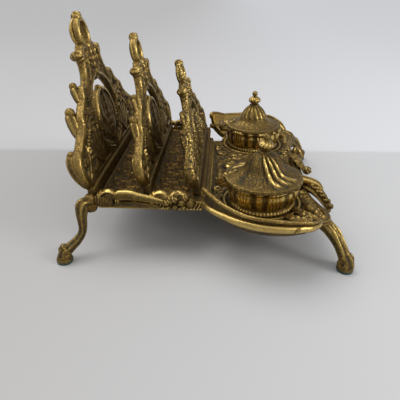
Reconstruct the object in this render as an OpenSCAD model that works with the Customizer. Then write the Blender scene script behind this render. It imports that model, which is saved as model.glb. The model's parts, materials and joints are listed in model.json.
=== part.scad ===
// Desk inkstand: a letter rack of three pierced scroll panels behind a dished
// ink tray that carries two lidded wells, on four scroll legs with felt pads.
// +X to the right, +Y to the back, +Z up. The origin is on the table, midway
// between the feet.

/* [Letter rack] */
// Width of the rack's floor plate
floor_w = 165; // [150:1:180]
// Height of the floor's top above the table
floor_z = 42; // [38:1:60]
// Thickness of the floor plate
floor_t = 3; // [2.5:0.1:4]
// Distance between the back and the middle panel at the floor
slot_back = 40; // [30:1:50]
// Distance between the middle and the front panel at the floor
slot_front = 37.5; // [30:0.5:50]
// Floor left behind the back panel
floor_edge_back = 1.5; // [0.5:0.1:4]
// Floor left in front of the front panel
floor_edge_front = 3.4; // [3.2:0.1:6]
// Radius of the round ears that carry the legs
ear_r = 6; // [5.5:0.1:7]

/* [Panels] */
// Height of the back panel along its slope
back_h = 124; // [100:1:140]
// Height of the middle panel along its slope
middle_h = 108; // [90:1:125]
// Height of the front panel along its slope
front_h = 88; // [70:1:100]
// Lean of the back panel from upright
back_lean = 10.1; // [5:0.1:14]
// Lean of the middle panel
middle_lean = 9.4; // [5:0.1:13]
// Lean of the front panel
front_lean = 12.7; // [8:0.1:14]
// Thickness of a panel's pierced plate
panel_t = 4.4; // [3:0.1:5]
// Height of the raised mouldings on a panel's front
moulding_h = 2.2; // [1:0.1:2.4]
// Thickness of the straight bar at a panel's foot
bar_t = 6; // [5.5:0.1:6.4]
// Height of the bar at a panel's foot
bar_h = 9; // [7:0.5:12]

/* [End rails] */
// Thickness of the pierced rails at the ends of the rack floor
rail_t = 4; // [3:0.1:5]
// Height of the rails' scroll arches above the floor
rail_rise = 10; // [7:0.5:14]
// How far the rails hang below the floor's top
rail_drop = 6; // [5:0.5:8]

/* [Ink tray] */
// Width over the raised ends of the tray
tray_w = 242; // [236:1:256]
// Depth of the tray in front of the rack floor
tray_d = 84; // [78:1:90]
// Radius of the tray's round ends
tray_end_r = 51; // [46:0.5:56]
// Height of the tray's surface above the table
tray_z = 33; // [31:0.5:36]
// Thickness of the tray
tray_t = 2.5; // [2:0.1:3.5]
// Height of the raised ends above the tray's surface
lip_h = 16.5; // [10:0.5:20]
// Height of the scoops behind the wells above the tray's surface
scoop_h = 24; // [17:0.5:26]
// Width of the raised ends' slope
lip_w = 13; // [10:0.5:15]

/* [Front spray] */
// Reach of the drooping leaf from the middle of the tray
spray_l = 72; // [60:1:84]

/* [Wells] */
// Distance between the wells' centres
well_gap = 125.6; // [120:0.2:130]
// Outer radius of a well at its rim
well_r = 28; // [26:0.5:29]
// Height of a well above the tray
well_h = 19.8; // [16:0.1:24]
// Radius of a well's mouth
mouth_r = 23.5; // [20:0.5:24]
// Thickness of a well's floor
well_floor = 3; // [2.6:0.1:4]
// Wall of the glass liner
liner_wall = 2.2; // [1.6:0.1:3]

/* [Lids] */
// Radius of a lid's brim
lid_r = 29.8; // [29.4:0.1:32]
// Thickness of the brim
brim_t = 2.4; // [2:0.1:3]
// Height of the bell above the brim
bell_h = 19.6; // [16:0.1:26]
// Wall of the lid
lid_wall = 2.2; // [1.6:0.1:3]
// Radius of the finial's large ball
ball_r = 5.9; // [4.5:0.1:6.5]
// Radius of the finial's small ball
bead_r = 2.7; // [2:0.1:3]

/* [Hinges] */
// Radius of the hinge pins
pin_r = 1.25; // [1:0.05:1.5]
// Outer radius of the hinge knuckles
knuckle_r = 2.6; // [2.3:0.1:3]
// Length of the lid's middle knuckle
knuckle_l = 8; // [6:0.5:12]

/* [Legs] */
// How far the feet stand out sideways from the rack floor's ends
foot_out_x = 21.5; // [16:0.5:28]
// How far the feet stand out behind the rack floor
foot_out_back = 15.2; // [12:0.2:20]
// How far the feet stand out in front of the tray
foot_out_front = 19.6; // [16:0.2:24]
// Radius of a foot's sole
sole_r = 6.2; // [5:0.1:8]
// Thickness of the felt pads
pad_t = 2; // [1.5:0.1:3]
// Radius of the studs on top of the legs
stud_r = 2; // [1.5:0.1:2.2]

/* [Fit] */
// Radial clearance of pins, screws and studs in their holes
fit = 0.06; // [0.03:0.01:0.1]
// Space left between neighbouring castings
seat_gap = 0.3; // [0.2:0.05:0.4]

/* [Hidden] */
$fn = 48;

BRASS = [0.62, 0.50, 0.22];
OLD_BRASS = [0.40, 0.31, 0.15];
FELT = [0.05, 0.25, 0.14];
GLASS = [0.80, 0.88, 0.86];

// Front to back, counted from the middle of the stance
floor_d = slot_back + slot_front + bar_t + floor_edge_back + floor_edge_front;
stance_d = foot_out_back + floor_d + tray_d + foot_out_front;
foot_y = stance_d / 2;
foot_x = floor_w / 2 + foot_out_x;
floor_back = foot_y - foot_out_back;
floor_front = floor_back - floor_d;
tray_front = floor_front - tray_d;
back_y = floor_back - floor_edge_back - bar_t / 2;
middle_y = back_y - slot_back;
front_y = middle_y - slot_front;
floor_under = floor_z - floor_t;
tray_under = tray_z - tray_t;

// Centres of the tray's round ends, and of the wells
end_x = tray_w / 2 - tray_end_r;
end_y = floor_front - tray_end_r + 1;
well_x = well_gap / 2;
well_y = end_y + 5.7;
rim_z = tray_z + well_h;

// Hinge axis behind each well
hinge_y = well_y + lid_r + knuckle_r + seat_gap;
lid_z = rim_z + seat_gap;
hinge_z = lid_z + 1.1;

// Screws and studs
screw_r = 1.5;
head_r = 3;
head_h = 1.8;
panel_screw_x = floor_w / 2 - 27;
flange_d = 12;
flange_t = 2.5;
nut_r = 4;
back_stud = [floor_w / 2 + 4.5, floor_back - 4.5];
front_stud = [end_x + 9, tray_front + 5.4];

// Points of a smooth curve through the rows of p, with n steps between rows
function curve_point(a, b, c, d, t) =
    0.5 * (2 * b + (c - a) * t + (2 * a - 5 * b + 4 * c - d) * t * t
    + (3 * b - a - 3 * c + d) * t * t * t);
function curve(p, n) =
    let (last = len(p) - 1)
    [for (i = [0 : last - 1], k = [0 : n - 1])
        curve_point(p[max(i - 1, 0)], p[i], p[i + 1], p[min(i + 2, last)], k / n),
     p[last]];

// Tube along rows of [x, y, z, radius]; its sections stay square to side_dir
module tube(rows, side_dir, sides = 14) {
    n = len(rows);
    function at(i) = [rows[i][0], rows[i][1], rows[i][2]];
    function ahead(i) = at(min(i + 1, n - 1)) - at(max(i - 1, 0));
    function unit(v) = v / norm(v);
    ring = [for (i = [0 : n - 1])
        let (t = unit(ahead(i)), u = unit(cross(side_dir, t)), w = cross(t, u))
        for (k = [0 : sides - 1])
            at(i) + rows[i][3] * (cos(360 * k / sides) * u + sin(360 * k / sides) * w)];
    skin = [for (i = [0 : n - 2], k = [0 : sides - 1])
        let (a = i * sides + k, b = i * sides + (k + 1) % sides)
        [a, a + sides, b + sides, b]];
    polyhedron(ring, concat(skin,
        [[for (k = [0 : sides - 1]) k]],
        [[for (k = [sides - 1 : -1 : 0]) (n - 1) * sides + k]]));
}

// ---- Letter rack ----

// Holes that run through the floor and the tray's flange for the panels' screws
module panel_screw_spots() {
    for (y = [back_y, middle_y, front_y], sx = [-1, 1])
        translate([sx * panel_screw_x, y, 0]) children();
}

module leg_spots(front) {
    spot = front ? front_stud : back_stud;
    for (sx = [-1, 1]) translate([sx * spot[0], spot[1], 0]) children();
}

module rack_floor() {
    color(OLD_BRASS)
    difference() {
        union() {
            translate([-floor_w / 2, floor_front, floor_under]) cube([floor_w, floor_d, floor_t]);
            leg_spots(false) translate([0, 0, floor_under]) cylinder(r = ear_r, h = floor_t);
        }
        panel_screw_spots()
            translate([0, 0, floor_under - 1]) cylinder(r = screw_r + fit, h = floor_t + 2);
        leg_spots(false)
            translate([0, 0, floor_under - 1]) cylinder(r = stud_r + fit, h = floor_t + 2);
    }
}

// Arch of a rail, an open half ring that stands on the rail's strip
module rail_arch(y, r) {
    translate([y, 0]) intersection() {
        difference() {
            circle(r = r);
            circle(r = r - 3.4);
        }
        translate([-r, 0]) square([2 * r, r]);
    }
}

module rack_rail(side) {
    arch_base = 1;
    arch_r = rail_rise - arch_base;
    slot_back_mid = (back_y + middle_y) / 2;
    slot_front_mid = (middle_y + front_y) / 2;
    color(BRASS)
    translate([side * (floor_w / 2 + rail_t / 2) + rail_t / 2, 0, floor_z])
    rotate([90, 0, -90]) mirror([1, 0, 0]) linear_extrude(rail_t) {
        translate([floor_front, -rail_drop]) square([floor_d - 12.5, rail_drop + arch_base + 0.5]);
        translate([0, arch_base]) {
            for (s = [-1, 1]) {
                rail_arch(slot_back_mid + s * arch_r * 0.7, arch_r);
                rail_arch(slot_front_mid + s * arch_r * 0.7, arch_r);
            }
            for (y = [slot_back_mid, slot_front_mid]) translate([y, arch_r * 0.42]) circle(r = 3.4);
        }
        for (y = [middle_y, front_y + 2]) translate([y, 1]) circle(r = 4);
    }
}

// One half of a panel's outline: the edge steps in from the foot to the crest
function panel_edge(base, h) = [for (p = [
    [0, 0], [1, 0], [1, 0.08], [1.03, 0.18], [1.02, 0.27], [0.90, 0.32], [0.74, 0.35],
    [0.68, 0.41], [0.66, 0.48], [0.53, 0.52], [0.46, 0.56], [0.32, 0.60], [0.25, 0.67],
    [0.23, 0.76], [0.16, 0.80], [0, 0.80]]) [p[0] * base, p[1] * h]];

// Round scrolls on a panel's edge: [share of the base, share of the height, radius
// as a share of the height]
SCROLLS = [[0.72, 0.465, 0.050], [0.49, 0.578, 0.036], [0.27, 0.755, 0.046]];

// Panel seen from the front, foot on y = 0
module panel_outline(base, h) {
    bulge_r = 0.08 * h;
    for (m = [0, 1]) mirror([m, 0]) {
        polygon(panel_edge(base, h));
        translate([base + 0.065 * h - bulge_r, 0.24 * h]) circle(r = bulge_r);
        for (q = SCROLLS) translate([q[0] * base, q[1] * h]) circle(r = q[2] * h);
    }
    translate([0, 0.87 * h]) circle(r = 0.088 * h);
    translate([0, 0.955 * h]) circle(r = 0.045 * h);
}

// Openings that pass right through a panel
module panel_openings(base, h) {
    window_r = 0.225 * h;
    eye_r = 0.042 * h;
    difference() {
        translate([0, 0.36 * h]) circle(r = window_r);
        translate([0, 0.31 * h]) circle(r = window_r - 0.01 * h);
        translate([-0.04 * h, 0]) square([0.08 * h, h]);
        translate([-h, 0]) square([2 * h, 0.36 * h]);
    }
    for (m = [0, 1]) mirror([m, 0]) {
        translate([0.62 * base, 0.30 * h]) circle(r = 0.028 * h);
        translate([0.79 * base, 0.25 * h]) circle(r = 0.024 * h);
        translate([0.10 * base, 0.71 * h]) circle(r = 0.018 * h);
    }
    translate([0, 0.845 * h]) circle(r = eye_r);
    translate([0, 0.885 * h]) circle(r = eye_r * 0.85);
}

// Mouldings of a panel's right half: rows of [share of the base, share of the height], then
// the width as a share of the height
MOULDINGS = [
    [[[0.95, 0.10], [1.00, 0.13], [1.03, 0.18], [1.03, 0.23], [0.99, 0.265], [0.93, 0.27]], 0.040],
    [[[0.95, 0.105], [0.86, 0.13], [0.76, 0.122], [0.69, 0.145], [0.70, 0.19]], 0.034],
    [[[0.97, 0.295], [0.895, 0.325], [0.81, 0.355], [0.75, 0.403], [0.745, 0.46], [0.69, 0.495]], 0.046],
    [[[0.67, 0.485], [0.60, 0.50], [0.54, 0.53], [0.525, 0.577], [0.48, 0.60]], 0.036],
    [[[0.44, 0.54], [0.36, 0.575], [0.29, 0.63], [0.262, 0.69], [0.262, 0.75]], 0.046],
    [[[0.08, 0.11], [0.20, 0.13], [0.32, 0.178], [0.405, 0.26], [0.44, 0.35]], 0.044],
    [[[0.44, 0.37], [0.52, 0.407], [0.595, 0.395], [0.62, 0.35]], 0.034],
    [[[0.50, 0.11], [0.53, 0.20], [0.575, 0.27]], 0.026],
    [[[0.52, 0.11], [0.66, 0.16], [0.71, 0.225]], 0.026],
    [[[0.04, 0.775], [0.09, 0.80], [0.105, 0.865], [0.085, 0.915], [0.04, 0.945]], 0.036]];

// Strip of width w along the points p
function ribbon(p, w) =
    let (n = len(p),
         side = [for (i = [0 : n - 1])
             let (d = p[min(i + 1, n - 1)] - p[max(i - 1, 0)]) [-d[1], d[0]] / norm(d) * w / 2])
    concat([for (i = [0 : n - 1]) p[i] + side[i]], [for (i = [n - 1 : -1 : 0]) p[i] - side[i]]);

// Raised mouldings: scrolls and ribs on both halves, the arch, the shell's rim and its leaf
module panel_mouldings(base, h) {
    arch = [for (a = [-12 : 12 : 192]) [0.382 * base * cos(a), 0.363 * h + 0.254 * h * sin(a)]];
    shell = [for (a = [-60 : 15 : 240]) [0.26 * base * cos(a), 0.323 * h + 0.19 * h * sin(a)]];
    for (m = [0, 1]) mirror([m, 0])
        for (q = MOULDINGS) polygon(ribbon([for (p = q[0]) [p[0] * base, p[1] * h]], q[1] * h));
    polygon(ribbon(arch, 0.036 * h));
    polygon(ribbon(shell, 0.03 * h));
    polygon([[-0.014 * h, 0.14 * h], [0.014 * h, 0.14 * h], [0.042 * h, 0.34 * h],
             [0, 0.55 * h], [-0.042 * h, 0.34 * h]]);
    polygon([[-0.02 * h, 0.62 * h], [0.02 * h, 0.62 * h], [0.05 * h, 0.69 * h],
             [0, 0.80 * h], [-0.05 * h, 0.69 * h]]);
}

// Plate with its mouldings on both faces, which stand more proud in front
module panel_plate(base, h) {
    back = 0.55 * moulding_h;
    through = panel_t + moulding_h + back;
    difference() {
        union() {
            translate([0, panel_t / 2, 0]) rotate([90, 0, 0])
                linear_extrude(panel_t) panel_outline(base, h);
            translate([0, panel_t / 2 + back, 0]) rotate([90, 0, 0])
                linear_extrude(through) panel_mouldings(base, h);
        }
        translate([0, through, 0]) rotate([90, 0, 0])
            linear_extrude(2 * through) panel_openings(base, h);
    }
}

// Round scroll ends, which roll back behind a panel's face
module panel_knobs(base, h) {
    for (sx = [-1, 1]) {
        translate([sx * (base + 0.01 * h), 2, 0.24 * h]) sphere(r = 0.042 * h);
        for (q = SCROLLS) translate([sx * q[0] * base, 2, q[1] * h]) sphere(r = 0.9 * q[2] * h);
    }
    translate([0, 0.6, 0.955 * h]) sphere(r = 0.036 * h);
}

module rack_panel(y, base, h, lean) {
    thread_h = bar_h - 2;
    bar_l = 2 * base + 1.4;
    difference() {
        translate([0, y, floor_z]) {
            translate([-bar_l / 2, -bar_t / 2, 0]) cube([bar_l, bar_t, bar_h]);
            difference() {
                rotate([-lean, 0, 0]) {
                    panel_plate(base, h);
                    panel_knobs(base, h);
                }
                translate([-2 * base, -h, -h]) cube([4 * base, 2 * h, h]);
            }
        }
        panel_screw_spots()
            translate([0, 0, floor_z - 1]) cylinder(r = screw_r + fit, h = thread_h + 1);
    }
}

module back_panel() {
    color(BRASS) rack_panel(back_y, floor_w / 2 - 1, back_h, back_lean);
}

module middle_panel() {
    color(BRASS) rack_panel(middle_y, floor_w / 2 - 9, middle_h, middle_lean);
}

module front_panel() {
    color(BRASS) rack_panel(front_y, floor_w / 2 - 11, front_h, front_lean);
}

// Round-headed screws that stand in the panels' foot bars from below
module panel_screws() {
    color(OLD_BRASS) {
        for (y = [back_y, middle_y, front_y], sx = [-1, 1]) {
            under = y == front_y ? floor_under - flange_t : floor_under;
            translate([sx * panel_screw_x, y, under]) {
                cylinder(r = screw_r, h = floor_z + bar_h - 4 - under);
                translate([0, 0, -head_h]) cylinder(r = head_r, h = head_h);
            }
        }
    }
}

// ---- Ink tray ----

module tray_plan() {
    intersection() {
        union() {
            for (sx = [-1, 1]) {
                translate([sx * end_x, end_y]) circle(r = tray_end_r - lip_w, $fn = 96);
                translate([sx * front_stud[0], front_stud[1]]) circle(r = ear_r);
            }
            translate([-end_x, tray_front]) square([2 * end_x, tray_d - seat_gap]);
        }
        translate([-tray_w / 2, tray_front]) square([tray_w, tray_d - seat_gap]);
    }
}

// Part of a raised end round its circle: a flared wall that rises by rise
module tray_lip(side, from, sweep, rise) {
    inner = tray_end_r - lip_w;
    reach = min(1, rise / lip_h + 0.25) * lip_w;
    top = tray_z + rise;
    outer = inner + reach;
    section = [[inner - 1.5, tray_under + 0.4],
               [inner + 0.31 * reach, tray_under + 0.34 * rise],
               [outer - 0.08 * reach, tray_under + 0.72 * rise], [outer, top - 1], [outer - 0.4, top],
               [outer - 2, top], [outer - 3, top - 0.31 * rise],
               [inner + 0.23 * reach, tray_z + 0.33 * rise], [inner - 1.5, tray_z - 0.4]];
    start = side > 0 ? from : 180 - from - sweep;
    translate([side * end_x, end_y, 0]) rotate([0, 0, start])
        rotate_extrude(angle = sweep, $fn = 96) polygon(section);
}

// Scoop behind each well: the raised end's wall carried higher at its rear
module tray_scoop(side) {
    low = tray_z + lip_h - 4;
    top = tray_z + scoop_h;
    section = [[tray_end_r - 2.5, low], [tray_end_r - 0.8, low], [tray_end_r - 0.2, top - 1],
               [tray_end_r - 0.6, top], [tray_end_r - 2, top], [tray_end_r - 2.4, top - 1]];
    translate([side * end_x, end_y, 0]) rotate([0, 0, side > 0 ? 32 : 180 - 74])
        rotate_extrude(angle = 42, $fn = 96) polygon(section);
}

module ink_tray() {
    riser_w = 2 * end_x - 12;
    riser_t = 3;
    color(BRASS)
    difference() {
        union() {
            translate([0, 0, tray_under]) linear_extrude(tray_t) tray_plan();
            for (side = [-1, 1]) {
                tray_lip(side, -20, 95, lip_h);
                tray_lip(side, -51, 30.4, 6);
                tray_scoop(side);
            }
            // riser and flange that reach under the rack floor
            translate([-riser_w / 2, floor_front - riser_t, tray_under])
                cube([riser_w, riser_t - seat_gap, floor_under - tray_under]);
            translate([-riser_w / 2, floor_front - riser_t, floor_under - flange_t])
                cube([riser_w, flange_d + riser_t, flange_t]);
            // raised beads beside the pen trough
            for (sx = [-1, 1]) translate([sx * 24 - 1, tray_front + 12, tray_z - 0.5])
                cube([2, tray_d - 20, 2]);
        }
        panel_screw_spots()
            translate([0, 0, tray_under]) cylinder(r = screw_r + fit, h = floor_z);
        leg_spots(true)
            translate([0, 0, tray_under - 1]) cylinder(r = stud_r + fit, h = tray_t + 2);
        for (sx = [-1, 1]) translate([sx * well_x, well_y, tray_under - 1])
            cylinder(r = screw_r + fit, h = tray_t + 2);
        spray_spots() translate([0, 0, tray_under - 1]) cylinder(r = screw_r + fit, h = tray_t + 2);
    }
}

module spray_spots() {
    for (sx = [-1, 1]) translate([sx * 12, tray_front + 3.5, 0]) children();
}

// Leaf that springs from the middle of the tray's front and droops to the left
module front_spray() {
    foot_z = tray_z;
    l = spray_l;
    leaf = curve([[-0.18 * l, tray_front + 1.5, foot_z + 6, 3.4],
                  [-0.333 * l, tray_front - 0.02 * l, foot_z + 7.4, 4],
                  [-0.5 * l, tray_front - 0.067 * l, foot_z + 6.4, 4.2],
                  [-0.653 * l, tray_front - 0.104 * l, foot_z + 4.4, 3.8],
                  [-0.82 * l, tray_front - 0.136 * l, foot_z + 2, 3],
                  [-l, tray_front - 0.167 * l, foot_z - 1.5, 1.2]], 4);
    color(BRASS)
    difference() {
        union() {
            translate([-22, tray_front, foot_z]) cube([44, 7, 7]);
            translate([0, tray_front, foot_z + 8]) rotate([-90, 0, 0]) cylinder(r = 7, h = 6);
            translate([-12, tray_front, foot_z + 10]) sphere(r = 4.6);
            translate([14, tray_front + 2, foot_z + 8]) sphere(r = 4.6);
            tube(leaf, [0, 0, 1]);
        }
        spray_spots() translate([0, 0, foot_z - 1]) cylinder(r = screw_r + fit, h = 5);
    }
}

module spray_rivets() {
    color(OLD_BRASS)
    spray_spots() translate([0, 0, tray_under]) {
        cylinder(r = screw_r, h = tray_t + 3.5);
        translate([0, 0, -head_h]) cylinder(r = head_r, h = head_h);
    }
}

// ---- Legs ----

// Stations of a leg's curve: [share of the way in from the foot to the stud, height, radius]
function back_leg_rows() = let (top = floor_under)
    [[0.684, top - 1.5, 5.4], [0.661, top - 8, 4.8], [0.646, top - 15, 3], [0.584, top - 21, 2.9],
     [0.430, 13.2, 3.7], [0.223, 10.2, 4.6], [0.062, 7, 5.4], [0, 4.2, 6], [0, pad_t - 1, sole_r]];
function front_leg_rows() = let (top = tray_under)
    [[0.87, top - 3, 4], [0.68, top, 5.2], [0.526, top - 2.3, 5.5], [0.368, top - 6.6, 5.5],
     [0.226, top - 11.6, 5.2], [0.113, 13, 5], [0.028, 8, 5.2], [0, 4.4, 5.8], [0, pad_t - 1, sole_r]];

// Space the plate on top of a leg takes up, which the leg keeps clear of
module plate_space(front) {
    gap = seat_gap;
    if (front) {
        translate([-tray_w, tray_front - gap, tray_under]) cube([2 * tray_w, tray_d, 2 * tray_z]);
    } else {
        translate([-floor_w / 2 - gap, floor_front, floor_under])
            cube([floor_w + 2 * gap, floor_d + gap, floor_z]);
        leg_spots(false) translate([0, 0, floor_under]) cylinder(r = ear_r + gap, h = floor_z);
    }
}

// Leg with a round pad under the plate and a stud that passes through it
module leg(side, front) {
    stud = front ? front_stud : back_stud;
    plate_under = front ? tray_under : floor_under;
    plate_t = front ? tray_t : floor_t;
    foot = [side * foot_x, (front ? -1 : 1) * foot_y];
    root = [side * stud[0], stud[1]];
    way = root - foot;
    path = curve([for (p = front ? front_leg_rows() : back_leg_rows())
        [foot[0] + way[0] * p[0], foot[1] + way[1] * p[0], p[1], p[2]]], 4);
    pad_h = 7;
    knee = path[0];
    color(BRASS) {
        difference() {
            union() {
                tube(path, [-way[1], way[0], 0]);
                translate([root[0], root[1], plate_under - pad_h]) cylinder(r = ear_r, h = pad_h);
                if (!front) translate([knee[0], knee[1], knee[2]]) sphere(r = knee[3] + 0.4);
            }
            plate_space(front);
            translate([foot[0], foot[1], -2]) cylinder(r = 2 * sole_r, h = 2 + pad_t);
        }
        translate([root[0], root[1], plate_under - 1]) cylinder(r = stud_r, h = plate_t + 4.5);
    }
}

module felt_pad(side, end) {
    color(FELT) translate([side * foot_x, end * foot_y, 0]) cylinder(r = sole_r - 0.2, h = pad_t);
}

// Domed nuts on the legs' studs, above the plates
module leg_nuts() {
    color(BRASS)
    for (spot = [[back_stud, floor_z], [front_stud, tray_z]], sx = [-1, 1])
        translate([sx * spot[0][0], spot[0][1], spot[1]]) difference() {
            union() {
                cylinder(r = nut_r, h = 3);
                translate([0, 0, 3]) intersection() {
                    sphere(r = nut_r);
                    cylinder(r = nut_r, h = nut_r);
                }
            }
            translate([0, 0, -1]) cylinder(r = stud_r + fit, h = 5);
        }
}

// ---- Wells ----

module at_well(side) { translate([side * well_x, well_y, 0]) children(); }

// Knuckle of the hinge: a tube along X from x0, l long
module knuckle(x0, l) {
    translate([x0, hinge_y - well_y, hinge_z]) rotate([0, 90, 0]) cylinder(r = knuckle_r, h = l);
}

module well(side) {
    cup = [[0, tray_z], [well_r - 3, tray_z], [well_r - 2, tray_z + 1.5], [well_r - 2.6, tray_z + 3],
           [well_r - 0.6, tray_z + well_h * 0.45], [well_r - 1.6, rim_z - 4.6], [well_r - 2.6, rim_z - 3.4],
           [well_r, rim_z - 2.4], [well_r, rim_z], [mouth_r, rim_z], [mouth_r, tray_z + well_floor],
           [0, tray_z + well_floor]];
    ear_x = knuckle_l / 2 + seat_gap;
    ear_l = 5;
    color(BRASS)
    at_well(side) difference() {
        union() {
            rotate_extrude($fn = 96) polygon(cup);
            for (x0 = [ear_x, -ear_x - ear_l]) {
                knuckle(x0, ear_l);
                translate([x0, mouth_r + 2, rim_z - 3])
                    cube([ear_l, hinge_y - well_y - mouth_r - 2 + knuckle_r - 0.4, 3]);
            }
        }
        knuckle_bore();
        translate([0, 0, tray_z - 1]) cylinder(r = screw_r + fit, h = well_floor + 0.2);
    }
}

module knuckle_bore() {
    translate([-30, hinge_y - well_y, hinge_z]) rotate([0, 90, 0]) cylinder(r = pin_r + fit, h = 60);
}

module well_screws() {
    color(OLD_BRASS)
    for (side = [-1, 1]) at_well(side) translate([0, 0, tray_under]) {
        cylinder(r = screw_r, h = tray_t + well_floor - 1);
        translate([0, 0, -head_h]) cylinder(r = head_r, h = head_h);
    }
}

module liner(side) {
    outer = mouth_r - seat_gap;
    base_z = tray_z + well_floor;
    top_z = rim_z - 2.2;
    color(GLASS)
    at_well(side) rotate_extrude($fn = 96) polygon([
        [0, base_z], [outer - 2, base_z], [outer, base_z + 2], [outer, top_z],
        [outer - liner_wall, top_z], [outer - liner_wall, base_z + 4],
        [outer - liner_wall - 3, base_z + liner_wall], [0, base_z + liner_wall]]);
}

// ---- Lids ----

// Outside of the bell as [radius, height above the brim]
function bell_rows() = [[0.97, 0.04], [0.86, 0.13], [0.68, 0.26], [0.50, 0.42], [0.39, 0.60],
                        [0.34, 0.76], [0.26, 0.90], [0.13, 1.0]];

module lid(side) {
    top = lid_z + brim_t;
    outer = [for (p = bell_rows()) [p[0] * lid_r, top + p[1] * bell_h]];
    inner = [for (i = [5 : -1 : 1]) let (p = bell_rows()[i])
        [p[0] * lid_r - lid_wall, top + p[1] * bell_h - lid_wall]];
    spigot_r = mouth_r - 1.2;
    crown = top + bell_h;
    color(BRASS)
    at_well(side) difference() {
        union() {
            rotate_extrude($fn = 96) polygon(concat(
                [[lid_r, lid_z], [lid_r, lid_z + 1.4]], outer, [[0, crown]],
                [[0, inner[0][1]]], inner,
                [[spigot_r - 2, lid_z - 1.2], [spigot_r, lid_z - 1.2], [spigot_r, lid_z]]));
            knuckle(-knuckle_l / 2, knuckle_l);
            translate([-knuckle_l / 2, lid_r - 3, lid_z]) cube([knuckle_l, 3.6 + knuckle_r, 2.2]);
        }
        knuckle_bore();
        translate([0, 0, crown - 8]) cylinder(r = screw_r + fit, h = 10);
    }
}

module finial(side) {
    crown = lid_z + brim_t + bell_h;
    squash = 0.6;
    ball_z = crown + 1.2 + squash * ball_r;
    ball_top = ball_z + squash * ball_r;
    color(BRASS)
    at_well(side) {
        translate([0, 0, crown - 5]) cylinder(r = screw_r, h = 7);
        rotate_extrude($fn = 64) polygon([
            [0, crown], [3.2, crown], [3.4, crown + 0.7], [2.0, crown + 1.6],
            for (a = [-60 : 15 : 60]) [ball_r * cos(a), ball_z + squash * ball_r * sin(a)],
            [1.5, ball_top + 1.2], [0, ball_top + 1.2]]);
        translate([0, 0, ball_top + 0.6 + 0.8 * bead_r]) sphere(r = bead_r);
    }
}

module hinge_pin(side) {
    half = knuckle_l / 2 + seat_gap + 5;
    color(OLD_BRASS)
    at_well(side) translate([-half - 0.6, hinge_y - well_y, hinge_z]) rotate([0, 90, 0])
        cylinder(r = pin_r, h = 2 * half + 1.2);
}

rack_floor();
rack_rail(-1);  // rack_rail_left
rack_rail(1);  // rack_rail_right
back_panel();
middle_panel();
front_panel();
panel_screws();
ink_tray();
front_spray();
spray_rivets();
leg(-1, false);  // leg_back_left
leg(1, false);  // leg_back_right
leg(-1, true);  // leg_front_left
leg(1, true);  // leg_front_right
felt_pad(-1, 1);  // felt_pad_back_left
felt_pad(1, 1);  // felt_pad_back_right
felt_pad(-1, -1);  // felt_pad_front_left
felt_pad(1, -1);  // felt_pad_front_right
leg_nuts();
well(-1);  // well_left
well(1);  // well_right
well_screws();
liner(-1);  // liner_left
liner(1);  // liner_right
lid(-1);  // lid_left
lid(1);  // lid_right
finial(-1);  // finial_left
finial(1);  // finial_right
hinge_pin(-1);  // hinge_pin_left
hinge_pin(1);  // hinge_pin_right
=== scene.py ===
import json
import math
from types import SimpleNamespace

import bpy
import numpy as np
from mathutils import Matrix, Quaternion, Vector


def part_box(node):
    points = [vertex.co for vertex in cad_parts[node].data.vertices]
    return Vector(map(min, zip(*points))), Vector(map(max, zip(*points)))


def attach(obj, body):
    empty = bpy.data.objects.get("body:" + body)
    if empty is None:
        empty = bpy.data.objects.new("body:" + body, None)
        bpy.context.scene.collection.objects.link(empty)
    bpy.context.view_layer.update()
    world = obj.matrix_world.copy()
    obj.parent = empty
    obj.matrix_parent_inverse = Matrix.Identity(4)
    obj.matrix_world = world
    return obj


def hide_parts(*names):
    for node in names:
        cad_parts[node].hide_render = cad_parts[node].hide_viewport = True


bl_info = {
    "name": "Desk inkstand dressing",
    "version": (1, 0, 0),
    "blender": (4, 5, 0),
    "location": "3D View > Sidebar > Inkstand",
    "description": "Dresses the inkstand's solids with cast relief, aged brass, felt and glass",
    "category": "Object",
}

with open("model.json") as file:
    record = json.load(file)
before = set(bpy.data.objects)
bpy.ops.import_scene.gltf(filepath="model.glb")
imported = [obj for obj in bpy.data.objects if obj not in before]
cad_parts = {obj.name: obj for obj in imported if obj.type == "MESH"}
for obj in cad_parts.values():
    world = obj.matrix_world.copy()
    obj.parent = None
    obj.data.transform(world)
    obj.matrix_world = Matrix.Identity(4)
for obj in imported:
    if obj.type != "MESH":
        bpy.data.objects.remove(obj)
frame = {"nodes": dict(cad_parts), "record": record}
MM = 0.001
BODY = {n: b for b, ns in frame["record"]["behaviour"]["bodies"].items() for n in ns}
SIDES = ((-1, "left"), (1, "right"))
# each panel's half width, height, roll of its scroll ends and finish; the drawing is the back panel's
DRAWN = (81.5, 124)
PANELS = {"back_panel": (*DRAWN, 1.0, "leaves"), "middle_panel": (73.5, 108, 0.35, "leaves"),
          "front_panel": (71.5, 88, 0.3, "pearled")}
LID_GAP, BRIM = 0.3, 2.4  # mm between a well's rim and its lid, and the height of the lid's brim
AXIS = 0.02  # mm: least radius of a turned surface, so that no face has no area
FULL_RELIEF = 0.9  # mm over the mean round it at which a point's relief value is 1
MARGIN = 2.5  # mm round a drawn shape in which the distance to it is kept
BUMP = 0.0003  # metres
STAGE_RADIUS = 24  # metres
SHARP = math.radians(48)  # edges that turn by more stay sharp
stand = SimpleNamespace()  # sizes in millimetres, filled by read_sizes


def box(node):
    """Lower and upper corner of a node's box, in millimetres."""
    return [np.array(corner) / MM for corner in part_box(node)]


def side_of(node):
    """-1 for a left piece and 1 for a right one."""
    return -1 if node.endswith("left") else 1


def middle(node):
    """Middle of a node's box, in millimetres."""
    return np.add(*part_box(node)) / 2 / MM


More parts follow.
